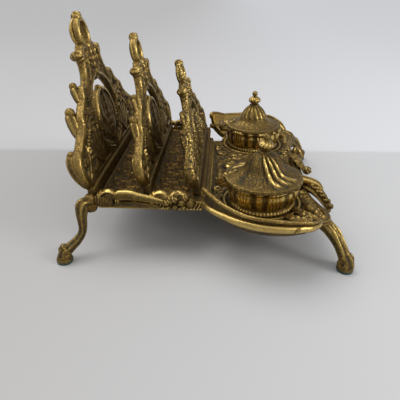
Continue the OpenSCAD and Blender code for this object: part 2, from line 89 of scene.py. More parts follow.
def read_sizes(sizes, panels):
    """Fills stand with the add-on's sizes and with those that the boxes in the frame give."""
    for key in StandSizes.__annotations__:
        setattr(stand, key, np.array(getattr(sizes, key)) / MM)
    rows = [box(name)[0][1] + stand.bar / 2 for name in PANELS]
    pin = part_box("hinge_pin_right")
    stand.lean = {name: getattr(panels, name[:-5] + "lean") for name in PANELS}
    stand.relief, stand.step = panels.relief, panels.step / MM
    stand.slots = (rows[0] + rows[1]) / 2, (rows[1] + rows[2]) / 2
    stand.floor_top, stand.foot = box("rack_floor")[1][2], middle("felt_pad_back_right")[:2]
    stand.well, stand.hinge = middle("liner_right")[:2], middle("hinge_pin_right")[1:]
    stand.pin, stand.spray = (pin[1][2] - pin[0][2]) / 2 / MM, -box("front_spray")[0][0] - 0.4


# ---------------------------------------------------------------- curves

def cubic(a, b, c, d, t):
    """Catmull-Rom cubic from b, where t is 0, to c, where t is 1."""
    return 0.5 * (2 * b + (c - a) * t + (2 * a - 5 * b + 4 * c - d) * t**2 + (3 * b - a - 3 * c + d) * t**3)


def spline(points, steps=6):
    """Smooth curve through the rows of points: each span is a Catmull-Rom cubic, with steps rows a span."""
    p = np.asarray(points, float)
    q = np.vstack([2 * p[0] - p[1], p, 2 * p[-1] - p[-2]])
    rows = cubic(*(q[i:len(q) - 3 + i][:, None] for i in range(4)), (np.arange(steps) / steps)[:, None])
    return np.vstack([rows.reshape(-1, p.shape[1]), p[-1:]])


def lengths(path):
    """Length of a path up to each of its points."""
    return np.concatenate([[0], np.cumsum(np.linalg.norm(np.diff(path, axis=0), axis=1))])


def spaced(rows, count, steps=12):
    """Smooth curve through rows, with count points spaced evenly along it."""
    p = spline(rows, steps)
    s = lengths(p)
    return np.stack([np.interp(np.linspace(0, s[-1], count), s, column) for column in p.T], 1)


def unit(v, least=0.0):
    """Rows of v, each divided by its length."""
    return v / (np.linalg.norm(v, axis=1, keepdims=True) + least)


def turn(count):
    """Angles of count points spaced evenly round a circle."""
    return 2 * np.pi * np.arange(count) / count


def volute(x, y, radius, start, turns, shrink=0.72, count=9):
    """Points of a spiral round (x, y): the radius falls linearly by shrink while the angle runs through
    turns."""
    t = np.linspace(0, 1, count)
    angle = np.radians(start) + 2 * np.pi * turns * t
    r = radius * (1 - shrink * t)
    return np.stack([x + r * np.cos(angle), y + r * np.sin(angle)], 1)


def moved(rows, by, times=1.0):
    """Rows of points multiplied by times, then moved by by."""
    return np.multiply(rows, times) + by


def smooth(t):
    """Cubic step from 0 to 1 of t held between 0 and 1."""
    t = np.clip(t, 0, 1)
    return t * t * (3 - 2 * t)


def band(s, low, rise, high, fall):
    """1 between low and high and 0 outside: it rises over rise past low, and falls over fall up to high."""
    return smooth((s - low) / rise) * smooth((high - s) / fall)


def net(x, y, pitch):
    """Product of cosine waves along both diagonals: it runs from -1 to 1 with waves pitch apart."""
    return np.cos(2 * np.pi * (x + y) / pitch) * np.cos(2 * np.pi * (x - y) / pitch)


def blurred(a, n):
    """Box mean over 2n + 1 cells both ways, from differences of the running sum."""
    for axis in (0, 1):
        b = np.moveaxis(a, axis, 0)
        b = np.concatenate([np.repeat(b[:1], n + 1, 0), b, np.repeat(b[-1:], n, 0)])
        c = np.cumsum(b, 0)
        a = np.moveaxis((c[2 * n + 1:] - c[:-2 * n - 1]) / (2 * n + 1), 0, axis)
    return a


# ---------------------------------------------------------------- meshes

class Work:
    """Closed surfaces gathered into one mesh, in millimetres. The relief value runs from -1 in a hollow to 1 on
    a ridge."""

    def __init__(self):
        self.verts, self.faces, self.relief, self.count = [], [], [], 0

    def add(self, verts, faces, relief):
        """Adds a closed surface; where the volume under its faces comes out negative, they are turned round."""
        volume = sum(np.einsum("ij,ij->", verts[f[:, 0]], np.cross(verts[f[:, k]], verts[f[:, k + 1]]))
                     for f in faces for k in range(1, f.shape[1] - 1))
        self.faces += [(f[:, ::-1] if volume < 0 else f) + self.count for f in faces]
        self.verts.append(verts)
        self.relief.append(relief)
        self.count += len(verts)

    def skin(self, grid, relief=0.0, wrap_rows=False):
        """Surface over grid[row, column]: columns close round, and rows close too or end in a fan to their
        middle."""
        rows, cols = grid.shape[:2]
        i, j = (v.ravel() for v in np.indices((rows if wrap_rows else rows - 1, cols)))
        up, on = (i + 1) % rows, (j + 1) % cols
        faces = [np.stack([i * cols + j, up * cols + j, up * cols + on, i * cols + on], 1)]
        verts, relief = grid.reshape(-1, 3), np.broadcast_to(relief, (rows, cols)).ravel()
        if not wrap_rows:
            k, last = np.arange(cols), (rows - 1) * cols
            faces += [np.stack([k, (k + 1) % cols, 0 * k + len(verts)], 1),
                      np.stack([last + (k + 1) % cols, last + k, 0 * k + len(verts) + 1], 1)]
            verts = np.vstack([verts, grid[0].mean(0), grid[-1].mean(0)])
            relief = np.concatenate([relief, [relief[:cols].mean(), relief[-cols:].mean()]])
        self.add(verts, faces, relief)

    def tube(self, path, radius, sides=12, steps=6, flat=1.0, up=(0, 0, 1), ribs=0, round_ends=True, deep=0.14,
             value=0.45):
        """Round bar along a smooth path of [x, y, z]: each section is an ellipse, flat times as thick along
        up's side, and ribs cosine waves round it stand out by deep times the radius. The ends close on a
        quarter round."""
        p = spline(path, steps)
        r = np.interp(np.linspace(0, 1, len(p)), np.linspace(0, 1, len(radius)), radius)
        if round_ends:
            s = lengths(p)
            for gap in (s / (r[0] + 1e-6), (s[-1] - s) / (r[-1] + 1e-6)):
                r = r * np.sqrt(np.clip(1 - (1 - np.clip(gap, 0, 1))**2, 0.04, 1))
        t = unit(np.gradient(p, axis=0))
        u = np.empty_like(t)
        v = np.cross(t[0], up)
        if np.linalg.norm(v) < 1e-3:
            v = np.cross(t[0], (1, 0, 0.1))
        for k in range(len(p)):
            v = v - (v @ t[k]) * t[k]
            v /= np.linalg.norm(v)
            u[k] = v
        a = turn(sides)[:, None]
        wave = np.cos(ribs * a) if ribs else 0 * a
        ring = np.cos(a) * u[:, None] + flat * np.sin(a) * np.cross(t, u)[:, None]
        self.skin(p[:, None] + r[:, None, None] * (1 + deep * wave) * ring,
                  np.clip(value + 0.55 * wave[:, 0], -1, 1))

    def leaf3d(self, path, width, thick, up, lobes=6, cup=-0.2, steps=6):
        """Acanthus leaf in space: along a smooth path its half width swells and ends in a point, its edge is
        cut into lobes, and its section is a thin lens bent by cup with a midrib and a vein to each lobe."""
        p = spaced(path, max((len(path) - 1) * steps + 1, 9 * lobes), steps)
        tangent = unit(np.gradient(p, axis=0))
        across = unit(np.cross(tangent, up))
        t = np.linspace(0, 1, len(p))[:, None]
        swell = (np.sin(np.pi * (0.14 + 0.86 * t)**0.85)**0.75).clip(0.05)
        w = width * swell
        u, v = np.cos(turn(18)), np.sin(turn(18))
        tooth = np.abs(np.sin(np.pi * lobes * t))**0.55
        side = w * u * (1 - 0.34 * (1 - tooth) * np.abs(u)**2)
        vein = np.abs(np.sin(np.pi * lobes * (t - 0.55 / lobes * np.abs(u))))**0.7
        front = v > -1e-9
        body = thick * v * (1 - 0.72 * u * u) * swell**0.5
        ridge = front * thick * (0.75 * np.exp(-(u / 0.16)**2)
                                 + 0.5 * (vein - 0.7) * (np.abs(u) > 0.12) * (1 - u**8))
        high = body + ridge * swell**0.5 + cup * w * u * u
        normal = np.cross(across, tangent)[:, None]
        grid = p[:, None] + side[..., None] * across[:, None] + high[..., None] * normal
        value = np.where(front, 0.25 + 0.7 * np.exp(-(u / 0.2)**2) + 0.8 * (vein - 0.65), -0.3)
        self.skin(grid, np.clip(value, -1, 1))

    def ball(self, centre, radius, squash=1.0, lobes=0, twist=0.0, sides=20):
        """Sphere of rings from pole to pole, squash times as high; lobes cosine flutes swirl over it by
        twist."""
        b = np.linspace(-np.pi / 2 * 0.97, np.pi / 2 * 0.97, sides // 2 + 1)[:, None]
        a = turn(max(sides, 6 * lobes))
        wave = np.cos(lobes * (a + twist * b)) if lobes else 0 * a * b
        r = radius * (1 + 0.09 * wave * np.cos(b)) * np.cos(b)
        grid = np.stack([r * np.cos(a), r * np.sin(a), squash * radius * np.sin(b) + 0 * a], -1)
        self.skin(grid + centre, 0.4 + 0.45 * wave)

    def turned(self, rows, centre, sides=96, relief=None, steps=1):
        """Surface turned round an upright axis from rows of [radius, height]. relief(angle, along) gives the
        height to stand out by, the swell of the radius, and the relief value."""
        p = spline(rows, steps)
        a = turn(sides)
        t = unit(np.gradient(p, axis=0), 1e-9)
        out, swell, value = relief(a, np.linspace(0, 1, len(p))[:, None]) if relief else (0.0, 0.0, 0.2)
        r = np.maximum(p[:, :1] + out * t[:, 1:] + swell, AXIS)
        z = p[:, 1:] - out * t[:, :1] + 0 * a
        self.skin(np.stack([centre[0] + r * np.cos(a), centre[1] + r * np.sin(a), centre[2] + z], -1), value)

    def block(self, lo, hi, edge=0.6, relief=0.2):
        """Bar with rounded edges between two corners: its cross profile is a rounded rectangle carried along X,
        drawn in by edge at both ends."""
        lo, hi = np.asarray(lo, float), np.asarray(hi, float)
        a = np.radians(np.arange(0, 360, 15) + 7.5)
        c, h = (lo + hi) / 2, (hi - lo) / 2
        sy, sz = np.sign(np.cos(a)), np.sign(np.sin(a))
        y = c[1] + sy * (h[1] - edge) + edge * np.cos(a)
        z = c[2] + sz * (h[2] - edge) + edge * np.sin(a)
        x = np.array([lo[0], lo[0] + edge * 0.3, lo[0] + edge, hi[0] - edge, hi[0] - edge * 0.3,
                      hi[0]])[:, None]
        pull = edge * np.array([1, 0.3, 0, 0, 0.3, 1])[:, None]
        self.skin(np.stack([x + 0 * y, y - pull * sy, z - pull * sz], -1), relief)

    def casting(self, design, lo, hi, step, half, place, rim=0.5, ease=1.6, back=0.6, spread=2.6, shade=0.0):
        """Pierced sheet with relief on both faces. design(x, y) gives how far inside the outline a point lies
        and the relief's height there, in mm. The half thickness grows from rim at the outline to half along a
        quarter round of radius ease, and place(x, y, depth) carries the points into the frame. The relief value
        is the height over its mean within spread; shade paints shade onto it away from the edges, and a
        negative shade paints light there."""
        n = np.ceil(np.subtract(hi, lo) / step).astype(int) + 1
        x, y = np.meshgrid(np.linspace(lo[0], hi[0], n[0]), np.linspace(lo[1], hi[1], n[1]), indexing="ij")
        inside, height = design(x, y)
        near = np.where(inside > 0, height, np.minimum(0.0, height.min()) - FULL_RELIEF)
        cells = int(spread / step)
        relief = (near - blurred(blurred(near, cells), cells)) / FULL_RELIEF
        keep = (inside[:-1, :-1] + inside[1:, :-1] + inside[1:, 1:] + inside[:-1, 1:]) > 0
        ring = np.pad(keep, 1)
        touch = ring[:-1, :-1].astype(int) + ring[1:, :-1] + ring[1:, 1:] + ring[:-1, 1:]
        used = touch > 0
        edge = used & (touch < 4)
        # points at the edge slide onto the outline, down the slope of the distance to it
        ex, ey = fx, fy = x[edge], y[edge]
        reach, tiny = 0.8 * step, 0.08
        for _ in range(3):
            f = design(fx, fy)[0]
            gx, gy = ((design(fx + i, fy + j)[0] - f) / tiny for i, j in ((tiny, 0), (0, tiny)))
            g = np.maximum(gx * gx + gy * gy, 0.25)
            f = np.clip(f, -1, 1)
            fx = np.clip(fx - f * gx / g, ex - reach, ex + reach)
            fy = np.clip(fy - f * gy / g, ey - reach, ey + reach)
        x[edge], y[edge], inside[edge] = fx, fy, 0
        t = rim + (half - rim) * np.sqrt(1 - (1 - np.clip(inside / ease, 0, 1))**2)
        fade = smooth(inside / 0.9)
        index, count = np.full(used.shape, -1), int(used.sum())
        index[used] = np.arange(count)
        front = place(x[used], y[used], -(t + height * fade)[used])
        rear = place(x[used], y[used], (t + back * height * fade)[used])
        i, j = np.nonzero(keep)
        a, b, c, d = index[i, j], index[i + 1, j], index[i + 1, j + 1], index[i, j + 1]
        faces = [np.stack([a, b, c, d], 1), np.stack([d, c, b, a], 1) + count]
        for p, q, di, dj in ((a, b, 0, -1), (b, c, 1, 0), (c, d, 0, 1), (d, a, -1, 0)):
            open_side = ~ring[i + 1 + di, j + 1 + dj]
            p, q = p[open_side], q[open_side]
            faces.append(np.stack([q, p, p + count, q + count], 1))
        # painted shade over the field away from the edges; a negative shade paints light there instead
        relief = relief - shade * smooth((inside - 2.5) / 4.0)
        relief[edge] = 0.25 - 0.4 * shade
        self.add(np.vstack([front, rear]), faces, np.tile(np.clip(relief[used], -1, 1), 2))

    def finish(self, node, material):
        """Puts the gathered surfaces into one object on the node's body, in place of its solids."""
        mesh = bpy.data.meshes.new(node.capitalize())
        faces = [row for f in self.faces for row in f.tolist()]
        mesh.from_pydata((np.vstack(self.verts) * MM).tolist(), [], faces)
        layer = mesh.attributes.new("relief", "FLOAT", "POINT")
        layer.data.foreach_set("value", np.concatenate(self.relief).astype(np.float32))
        mesh.shade_smooth()
        mesh.set_sharp_from_angle(angle=SHARP)
        mesh.materials.append(material)
        piece = bpy.data.objects.new(mesh.name, mesh)
        bpy.context.scene.collection.objects.link(piece)
        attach(piece, BODY[node])
        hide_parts(node)
        return piece


def to_segment(x, y, a, b):
    """Distance of points to the segment from a to b, and the share of it that lies behind the nearest point."""
    d = b - a
    u = np.clip(((x - a[0]) * d[0] + (y - a[1]) * d[1]) / max(d @ d, 1e-9), 0, 1)
    return np.hypot(x - a[0] - u * d[0], y - a[1] - u * d[1]), u


class Relief:
    """Ornament on a plane at the points x, y: how far inside its outline they lie, and its height there, in mm.
    Every shape joins the others by the larger value. The shapes are drawn at full size and scaled by scale."""

    def __init__(self, x, y, scale=(1.0, 1.0), rise=1.0):
        self.x, self.y, self.rise = x, y, rise
        self.scale = np.asarray(scale, float)
        self.k = float(np.sqrt(self.scale[0] * self.scale[1]))
        self.inside, self.height = np.full(x.shape, -50.0), np.zeros(x.shape)

    def _near(self, path, reach):
        """Points inside the box round a path that is grown by reach and by MARGIN."""
        lo, hi = path.min(0) - reach - MARGIN, path.max(0) + reach + MARGIN
        return (self.x > lo[0]) & (self.x < hi[0]) & (self.y > lo[1]) & (self.y < hi[1])

    def _along(self, path, reach):
        """Which points lie near a polyline, their distance to it, and the share of its length that they are
        at."""
        m = self._near(path, reach)
        best, share = np.full(m.sum(), 1e9), np.zeros(m.sum())
        s = lengths(path)
        s /= s[-1]
        for a, b, s0, s1 in zip(path[:-1], path[1:], s[:-1], s[1:]):
            e, u = to_segment(self.x[m], self.y[m], a, b)
            share = np.where(e < best, s0 + u * (s1 - s0), share)
            best = np.minimum(best, e)
        return m, best, share

    def _join(self, m, inside, height):
        """Joins a shape to the others at the points m: the larger distance, and the larger height inside the
        shape."""
        self.inside[m] = np.maximum(self.inside[m], inside)
        self.height[m] = np.where(inside > 0, np.maximum(self.height[m], height), self.height[m])

    def stroke(self, points, widths, rise, grooves=0, beads=0.0):
        """Round moulding along a curve: half an ellipse across. grooves cosine flutes run along it, and beads,
        a spacing in mm, turns it into a row of pearls."""
        path = spline(np.asarray(points, float) * self.scale, 5)
        widths = np.asarray(widths, float) * self.k
        m, d, s = self._along(path, widths.max())
        w = np.interp(s, np.linspace(0, 1, len(widths)), widths)
        q = np.clip(d / w, 0, 1)
        h = rise * np.sqrt(1 - q * q)
        if grooves:
            h = h - 0.22 * rise * (0.5 - 0.5 * np.cos(2 * np.pi * grooves * q)) * (q < 0.96)
        if beads:
            h = h * np.sqrt(np.abs(np.sin(np.pi * s * lengths(path)[-1] / beads))).clip(0.25)
        self._join(m, w - d, h * self.rise)

    def leaf(self, points, width, rise, lobes=5):
        """Acanthus leaf along a curve: the width swells and ends in a point, its edge is cut into lobes, and
        the height falls from the midrib with a vein to each lobe."""
        width = width * self.k
        m, d, s = self._along(spline(np.asarray(points, float) * self.scale, 5), width)
        swell = np.sin(np.pi * np.clip(0.12 + 0.88 * s, 0, 1)**0.8)**0.7
        tooth = np.abs(np.sin(np.pi * (lobes * s - 0.315 * d / width)))**0.6
        w = width * np.maximum(swell, 0.12) * (0.68 + 0.32 * tooth)
        q = np.clip(d / w, 0, 1)
        rib = np.exp(-(d / (0.13 * width))**2)
        h = rise * (0.35 + 0.65 * np.sqrt(1 - q * q)) * (0.62 + 0.38 * tooth) * (1 - 0.25 * s)
        h = h + 0.35 * rise * rib - 0.25 * rise * np.exp(-((d / width - 0.22) / 0.07)**2)
        self._join(m, w - d, h * self.rise * smooth((w - d) / 0.7 + 0.3))

    def knob(self, x, y, radius, rise, petals=0):
        """Dome of half an ellipse; petals cosine lobes cut its edge and its height."""
        x, y, radius = x * self.scale[0], y * self.scale[1], radius * self.k
        m = self._near(np.array([[x, y]]), radius)
        dx, dy = self.x[m] - x, self.y[m] - y
        d = np.hypot(dx, dy)
        lobe = np.cos(petals * np.arctan2(dy, dx)) if petals else 0
        r = radius * (1 + 0.1 * lobe)
        q = np.clip(d / r, 0, 1)
        self._join(m, r - d, rise * self.rise * np.sqrt(1 - q * q) * (1 + 0.25 * lobe * q))

    def ground(self, polygon):
        """Flat ground inside a polygon: the distance to its nearest side, made positive where a level line to
        the right crosses the sides an odd number of times."""
        p = np.asarray(polygon, float) * self.scale
        best, odd = np.full(self.x.shape, 1e9), np.zeros(self.x.shape, bool)
        for a, b in zip(p, np.roll(p, -1, 0)):
            best = np.minimum(best, to_segment(self.x, self.y, a, b)[0])
            if abs(b[1] - a[1]) > 1e-9:
                cut = a[0] + (self.y - a[1]) * (b[0] - a[0]) / (b[1] - a[1])
                odd ^= ((a[1] > self.y) != (b[1] > self.y)) & (self.x < cut)
        self.inside = np.maximum(self.inside, np.where(odd, best, -best))

    def pierce(self, inside):
        """Opening where inside is positive."""
        self.inside = np.minimum(self.inside, -inside)

    def hole(self, x, y, radius):
        """Round opening."""
        self.pierce(radius * self.k - np.hypot(self.x - x * self.scale[0], self.y - y * self.scale[1]))


# ---------------------------------------------------------------- finishes

class Sock:
    """Output of a shader node: Python's operators on it add Math nodes."""

    def __init__(self, paint, out):
        self.paint, self.out = paint, out

    def _math(self, operation, *inputs):
        return self.paint.add("ShaderNodeMath", {"operation": operation}, dict(enumerate(inputs)))

    def __add__(self, o):
        return self._math("ADD", self, o)

    __radd__ = __add__

    def __sub__(self, o):
        return self._math("SUBTRACT", self, o)

    def __rsub__(self, o):
        return self._math("SUBTRACT", o, self)

    def __mul__(self, o):
        return self._math("MULTIPLY", self, o)

    __rmul__ = __mul__

    def clamp(self):
        """Held between 0 and 1."""
        return self._math("MINIMUM", self._math("MAXIMUM", self, 0.0), 1.0)

    def step(self, low, high):
        """Smooth step from 0 at low to 1 at high."""
        return self.paint.add("ShaderNodeMapRange", {"interpolation_type": "SMOOTHSTEP"},
                              {"Value": self, "From Min": low, "From Max": high})


class Paint:
    """Node tree of one material with its shader and output."""

    def __init__(self, name):
        self.material = bpy.data.materials.new(name)
        self.material.use_nodes = True
        self.tree = self.material.node_tree
        self.tree.nodes.clear()
        self.out = self.tree.nodes.new("ShaderNodeOutputMaterial")

    def add(self, kind, settings=None, inputs=None, out=0):
        """Any node: its settings first, then the values or links of its sockets, and the output that is
        wanted."""
        node = self.tree.nodes.new(kind)
        for key, value in (settings or {}).items():
            if key == "stops":
                ramp = node.color_ramp.elements
                for k, (at, colour) in enumerate(value):
                    e = ramp[k] if k < 2 else ramp.new(at)
                    e.position, e.color = at, (*colour, 1)
            else:
                setattr(node, key, value)
        for key, value in (inputs or {}).items():
            if isinstance(value, Sock):
                self.tree.links.new(value.out, node.inputs[key])
            else:
                node.inputs[key].default_value = value
        return Sock(self, node.outputs[out])

    def place(self, scale=(1, 1, 1)):
        """Object coordinates in units of 1 mm, stretched by scale."""
        at = self.add("ShaderNodeTexCoord", out="Object")
        return self.add("ShaderNodeMapping", inputs={"Vector": at, "Scale": tuple(s / MM for s in scale)})

    def noise(self, at, size, detail=3.0, rough=0.55):
        """Cloudy noise from about 0 to 1 with blotches of size mm."""
        return self.add("ShaderNodeTexNoise", inputs={"Vector": at, "Scale": 1 / size, "Detail": detail,
                                                      "Roughness": rough})

    def ramp(self, value, stops):
        """Colour picked by value from stops of (place, colour)."""
        return self.add("ShaderNodeValToRGB", {"stops": stops}, {"Fac": value})

    def bump(self, height, strength=0.7):
        """Normal bent by a height, whose unit is BUMP."""
        return self.add("ShaderNodeBump", inputs={"Strength": strength, "Distance": BUMP, "Height": height})

    def blend(self, share, a, b):
        """Colour between a and b."""
        sockets = {0: share, 6: a if isinstance(a, Sock) else (*a, 1), 7: b if isinstance(b, Sock) else (*b, 1)}
        return self.add("ShaderNodeMix", {"data_type": "RGBA"}, sockets, out=2)

    def finish(self, **sockets):
        """Principled shader with the sockets given by their names, underscores for spaces."""
        inputs = {name.replace("_", " "): value for name, value in sockets.items()}
        shader = self.add("ShaderNodeBsdfPrincipled", inputs=inputs)
        self.tree.links.new(shader.out, self.out.inputs["Surface"])
        return self.material


def times(colour, factor):
    """Colour with its channels multiplied by one factor or by three."""
    return tuple(float(v) for v in np.multiply(colour, factor))


def aged_brass(name, polished, tone, hollow, wear=0.0, cast=True, pearl=0.0):
    """Brass rubbed bright on its ridges and brown to black in its hollows, where the dark is old wax and dirt
    and also painted shade: the relief attribute and cloudy noise make one value that picks the colour,
    roughness and metal share. Fine chased lines, the borders of warped cells, lie on all but the ridges; with a
    grain they make the bump. pearl adds a ground of small round grains, cells whose height falls from their
    middle."""
    p = Paint(name)
    at = p.place()
    broad, fine, grain = p.noise(at, 16, 2), p.noise(at, 1.7, 4, 0.65), p.noise(at, 0.45, 2)
    chased = grains = 0.0
    if cast:
        relief = p.add("ShaderNodeAttribute", {"attribute_name": "relief"}, out="Fac")
        drift = p.add("ShaderNodeTexNoise", inputs={"Vector": at, "Scale": 0.3, "Detail": 2.0}, out="Color")
        warped = p.add("ShaderNodeVectorMath", {"operation": "MULTIPLY_ADD"}, {0: drift, 1: (4, 4, 4), 2: at})
        cells = p.add("ShaderNodeTexVoronoi", {"feature": "DISTANCE_TO_EDGE"},
                      {"Vector": warped, "Scale": 0.42})
        chased = (1 - cells.step(0.0, 0.17)) * (1 - relief.step(0.45, 0.80))
        calm = 1 - relief.step(0.35, 0.9) * 0.65
        # this value is high on rubbed ridges and low in the hollows; the dark in the hollows is old dirt and
        # painted shade
        wear_and_shade = relief * 0.38 + 0.43 + wear + ((fine - 0.5) * 0.62 + (broad - 0.5) * 0.5) * calm - chased * 0.26
    else:
        wear_and_shade = (fine - 0.5) * 0.7 + 0.47 + wear
    wear_and_shade = wear_and_shade.clamp()
    if pearl:
        grains = p.add("ShaderNodeTexVoronoi", inputs={"Vector": at, "Scale": 0.62}) * -1.5 + 0.75
        wear_and_shade = (wear_and_shade + grains * pearl).clamp()
    colour = p.ramp(wear_and_shade, [(0.12, hollow), (0.36, times(tone, 0.6)), (0.62, tone), (0.92, polished)])
    green = (p.noise(at, 6, 3) - 0.52).step(0.0, 0.14) * (1 - wear_and_shade.step(0.3, 0.7)) * 0.45
    return p.finish(Base_Color=p.blend(green, colour, (0.055, 0.062, 0.032)),
                    Roughness=0.60 - wear_and_shade.step(0.3, 0.85) * 0.34 + (grain - 0.5) * 0.14,
                    Metallic=wear_and_shade.step(0.05, 0.45) * 0.45 + 0.53,
                    Normal=p.bump(fine * 0.7 + grain * 0.35 - chased * 0.8 + grains * (3 * pearl)))


def felt_cloth(name, colour):
    """Felt: short matted fibres as two noises, one pressed flat along each axis, and a soft sheen."""
    p = Paint(name)
    fibre = p.noise(p.place((1, 1, 4)), 0.35, 4, 0.7) + p.noise(p.place(), 1.6, 2) * 0.5
    value = p.ramp(fibre - 0.25, [(0.2, times(colour, 0.45)), (0.75, times(colour, 1.5))])
    return p.finish(Base_Color=value, Roughness=0.96, Normal=p.bump(fibre), Sheen_Weight=0.4,
                    Sheen_Roughness=0.5)


def ink_glass(name):
    """Pressed glass of an ink cup with dried ink low in it: the tint deepens over the cup's height."""
    p = Paint(name)
    at = p.place()
    high = p.add("ShaderNodeSeparateXYZ", inputs={0: at}, out="Z")
    stain = 1 - (high + p.noise(at, 3, 3) * 4).step(40, 47)
    return p.finish(Base_Color=p.blend(stain, (0.62, 0.68, 0.66), (0.02, 0.025, 0.05)),
                    Roughness=stain * 0.3 + 0.08,
                    Normal=p.bump(p.noise(at, 4, 2), 0.3), Coat_Weight=0.6)


# ---------------------------------------------------------------- letter rack

FIELD = [(0, 2), (80, 2), (81, 12), (84, 22), (83, 33), (73, 39), (60, 43), (55, 50), (54, 59), (43, 63),
         (37, 67), (26, 72), (20, 82), (18, 94), (12, 99), (0, 99)]


def rack_pattern(x, y, base, height, rise=1):
    """Ornament of a rack panel, the same both sides of its middle: a pearled ground, two crescent openings
    round a shell, C and S scrolls up the edges, a fluted shaft and an arched loop at the top."""
    r = Relief(np.abs(x), y, (base / DRAWN[0], height / DRAWN[1]), rise)
    u, v = r.x / r.scale[0], r.y / r.scale[1]
    r.ground(FIELD)
    r.height = np.where(r.inside > 0, 0.75 * np.maximum(net(u, v, 4.6), 0) * (v > 12), r.height)
    shell = np.hypot(u / 21.5, (v - 40) / 24) - 1
    r.pierce(np.minimum(np.minimum(27.0 - np.hypot(u, v - 45), shell * 21.5 - 0.5), v - 43))
    for spot in ((53, 41, 2.8), (63, 31.5, 2.4), (43, 57.5, 2.3), (7.5, 88, 2.4), (30, 18, 1.7), (69, 26, 2.2)):
        r.hole(*spot)
    # shell in the middle: ribs that fan out from its root, inside a rolled rim
    ribs = (shell < 0) * (0.9 + 1.3 * np.abs(np.cos(6.5 * np.arctan2(u, v - 20)))) * smooth(-shell * 3)
    r.height = np.where(r.inside > 0, np.maximum(r.height, ribs * rise), r.height)
    rim = np.linspace(-0.5, np.pi * 0.5, 9)
    r.stroke(np.stack([21.2 * np.cos(rim), 40 + 23.6 * np.sin(rim)], 1), [1.6, 2.2, 1.8], 2.6)
    # harp ribs that fan up between the foot and the side scrolls
    for tx, ty in ((27, 33), (33, 38), (40, 39.5), (47, 38.5), (54, 35), (60, 29.5)):
        r.stroke([(41, 13), ((41 + tx) / 2 + 0.05 * (tx - 41), (13 + ty) / 2), (tx, ty)], [1.1, 1.5, 1.9], 2)
    r.stroke([(23, 33), (28, 41), (36, 45), (44, 45.5), (52, 42), (60, 36), (64, 29)], [1.6, 2.2, 1.6], 2.6,
             beads=3)
    # foot, edge scrolls from the foot up, arch over the openings, and the loop at the top: widths, rise,
    # grooves
    for rows, *form in (
            ([(0, 11.5), (40, 11.5), (80, 11.5)], [1.3], 1.5),
            ([(0, 6), (40, 6), (79, 6)], [0.8], 0.7),
            ([(79, 10), (84, 15), (87.5, 22), (87.5, 29), (83.5, 34.5), (77.5, 34.5), (74, 30), (76, 25.5),
              (80, 26.5)], [3, 3.8, 3.6, 3, 2.2], 3.6, 2),
            ([(79, 12), (70, 16), (62, 15), (56, 18), (57, 24), (62, 25)], [2.6, 3, 2.6, 1.8], 2.8, 1),
            ([(80, 36), (73, 40), (66, 44), (60.5, 49), (59, 53.5), (55.5, 57), (51.5, 57), (50.5, 53),
              (53.5, 51.5)],
             [2.6, 3.2, 3.6, 3, 2], 3.8, 2),
            ([(55, 57.5), (49, 61), (44, 64.5), (42, 68.5), (39, 72), (35.5, 71.5), (35, 68.5), (37.5, 67.5)],
             [2.2, 2.8, 3, 2.4, 1.8], 3.4, 2),
            ([(36, 67), (29, 71), (23.5, 78), (21.5, 86), (21.5, 91)], [4.4, 4, 3, 2.4], 3.4, 3),
            ([(17.5, 95), (12.5, 98.5), (8, 97), (7.5, 93), (10.5, 91.5)], [2.4, 2.6, 2, 1.4], 2.8, 1),
            ([(36, 46), (42, 50.5), (48.5, 49), (50.5, 43.5), (46, 40.5), (42.5, 43)],
             [1.8, 2.4, 2.2, 1.5], 3, 1),
            ([(28, 36), (31, 46), (29.5, 57), (23.5, 66.5), (14, 73), (5, 76), (0, 76.5)],
             [2, 2.6, 2.2], 3.2, 1),
            ([(3, 96), (8, 100), (10, 106.5), (8.8, 113), (4.8, 117.4), (0, 119)], [2.2, 2.2, 2.2, 2], 2.4)):
        r.stroke(rows, *form)
    # leaves: width, rise, lobes
    for rows, *form in (
            ([(0, 18), (0, 34), (0, 50), (0, 66)], 10, 3.2, 7),
            ([(2, 22), (8, 34), (14, 42), (17, 54)], 5.5, 2.6, 4),
            ([(79, 14), (74, 20), (70, 27), (67, 36)], 4.6, 2.6, 4),
            ([(66, 43), (60, 46), (57, 51), (57.5, 57)], 4.6, 3.2, 4),
            ([(20, 74), (15, 80), (12, 88), (13, 96)], 5, 2.8, 4),
            ([(6, 13), (15, 16), (25, 21), (32, 31), (35, 43)], 5.6, 2.8, 6),
            ([(0, 75), (0, 84), (0, 92), (0, 101)], 6.8, 3.6, 5),
            ([(2, 76), (9, 79), (13, 84), (14, 90)], 4.4, 2.8, 4),
            ([(31, 52), (38, 54), (45, 54), (51, 57)], 4.4, 2.8, 4),
            ([(26, 64), (31, 64), (36, 64), (41, 67)], 3.8, 2.6, 3)):
        r.leaf(rows, *form)
    for spot in ((79.3, 29.3, 3.2, 3.6), (21.5, 93.6, 4.6, 4.2, 6), (0, 120.3, 4, 3.4, 5)):
        r.knob(*spot)
    r.pierce(5.2 * r.k - np.hypot(r.x, (r.y - 108 * r.scale[1]) / 1.45))
    return r.inside, r.height


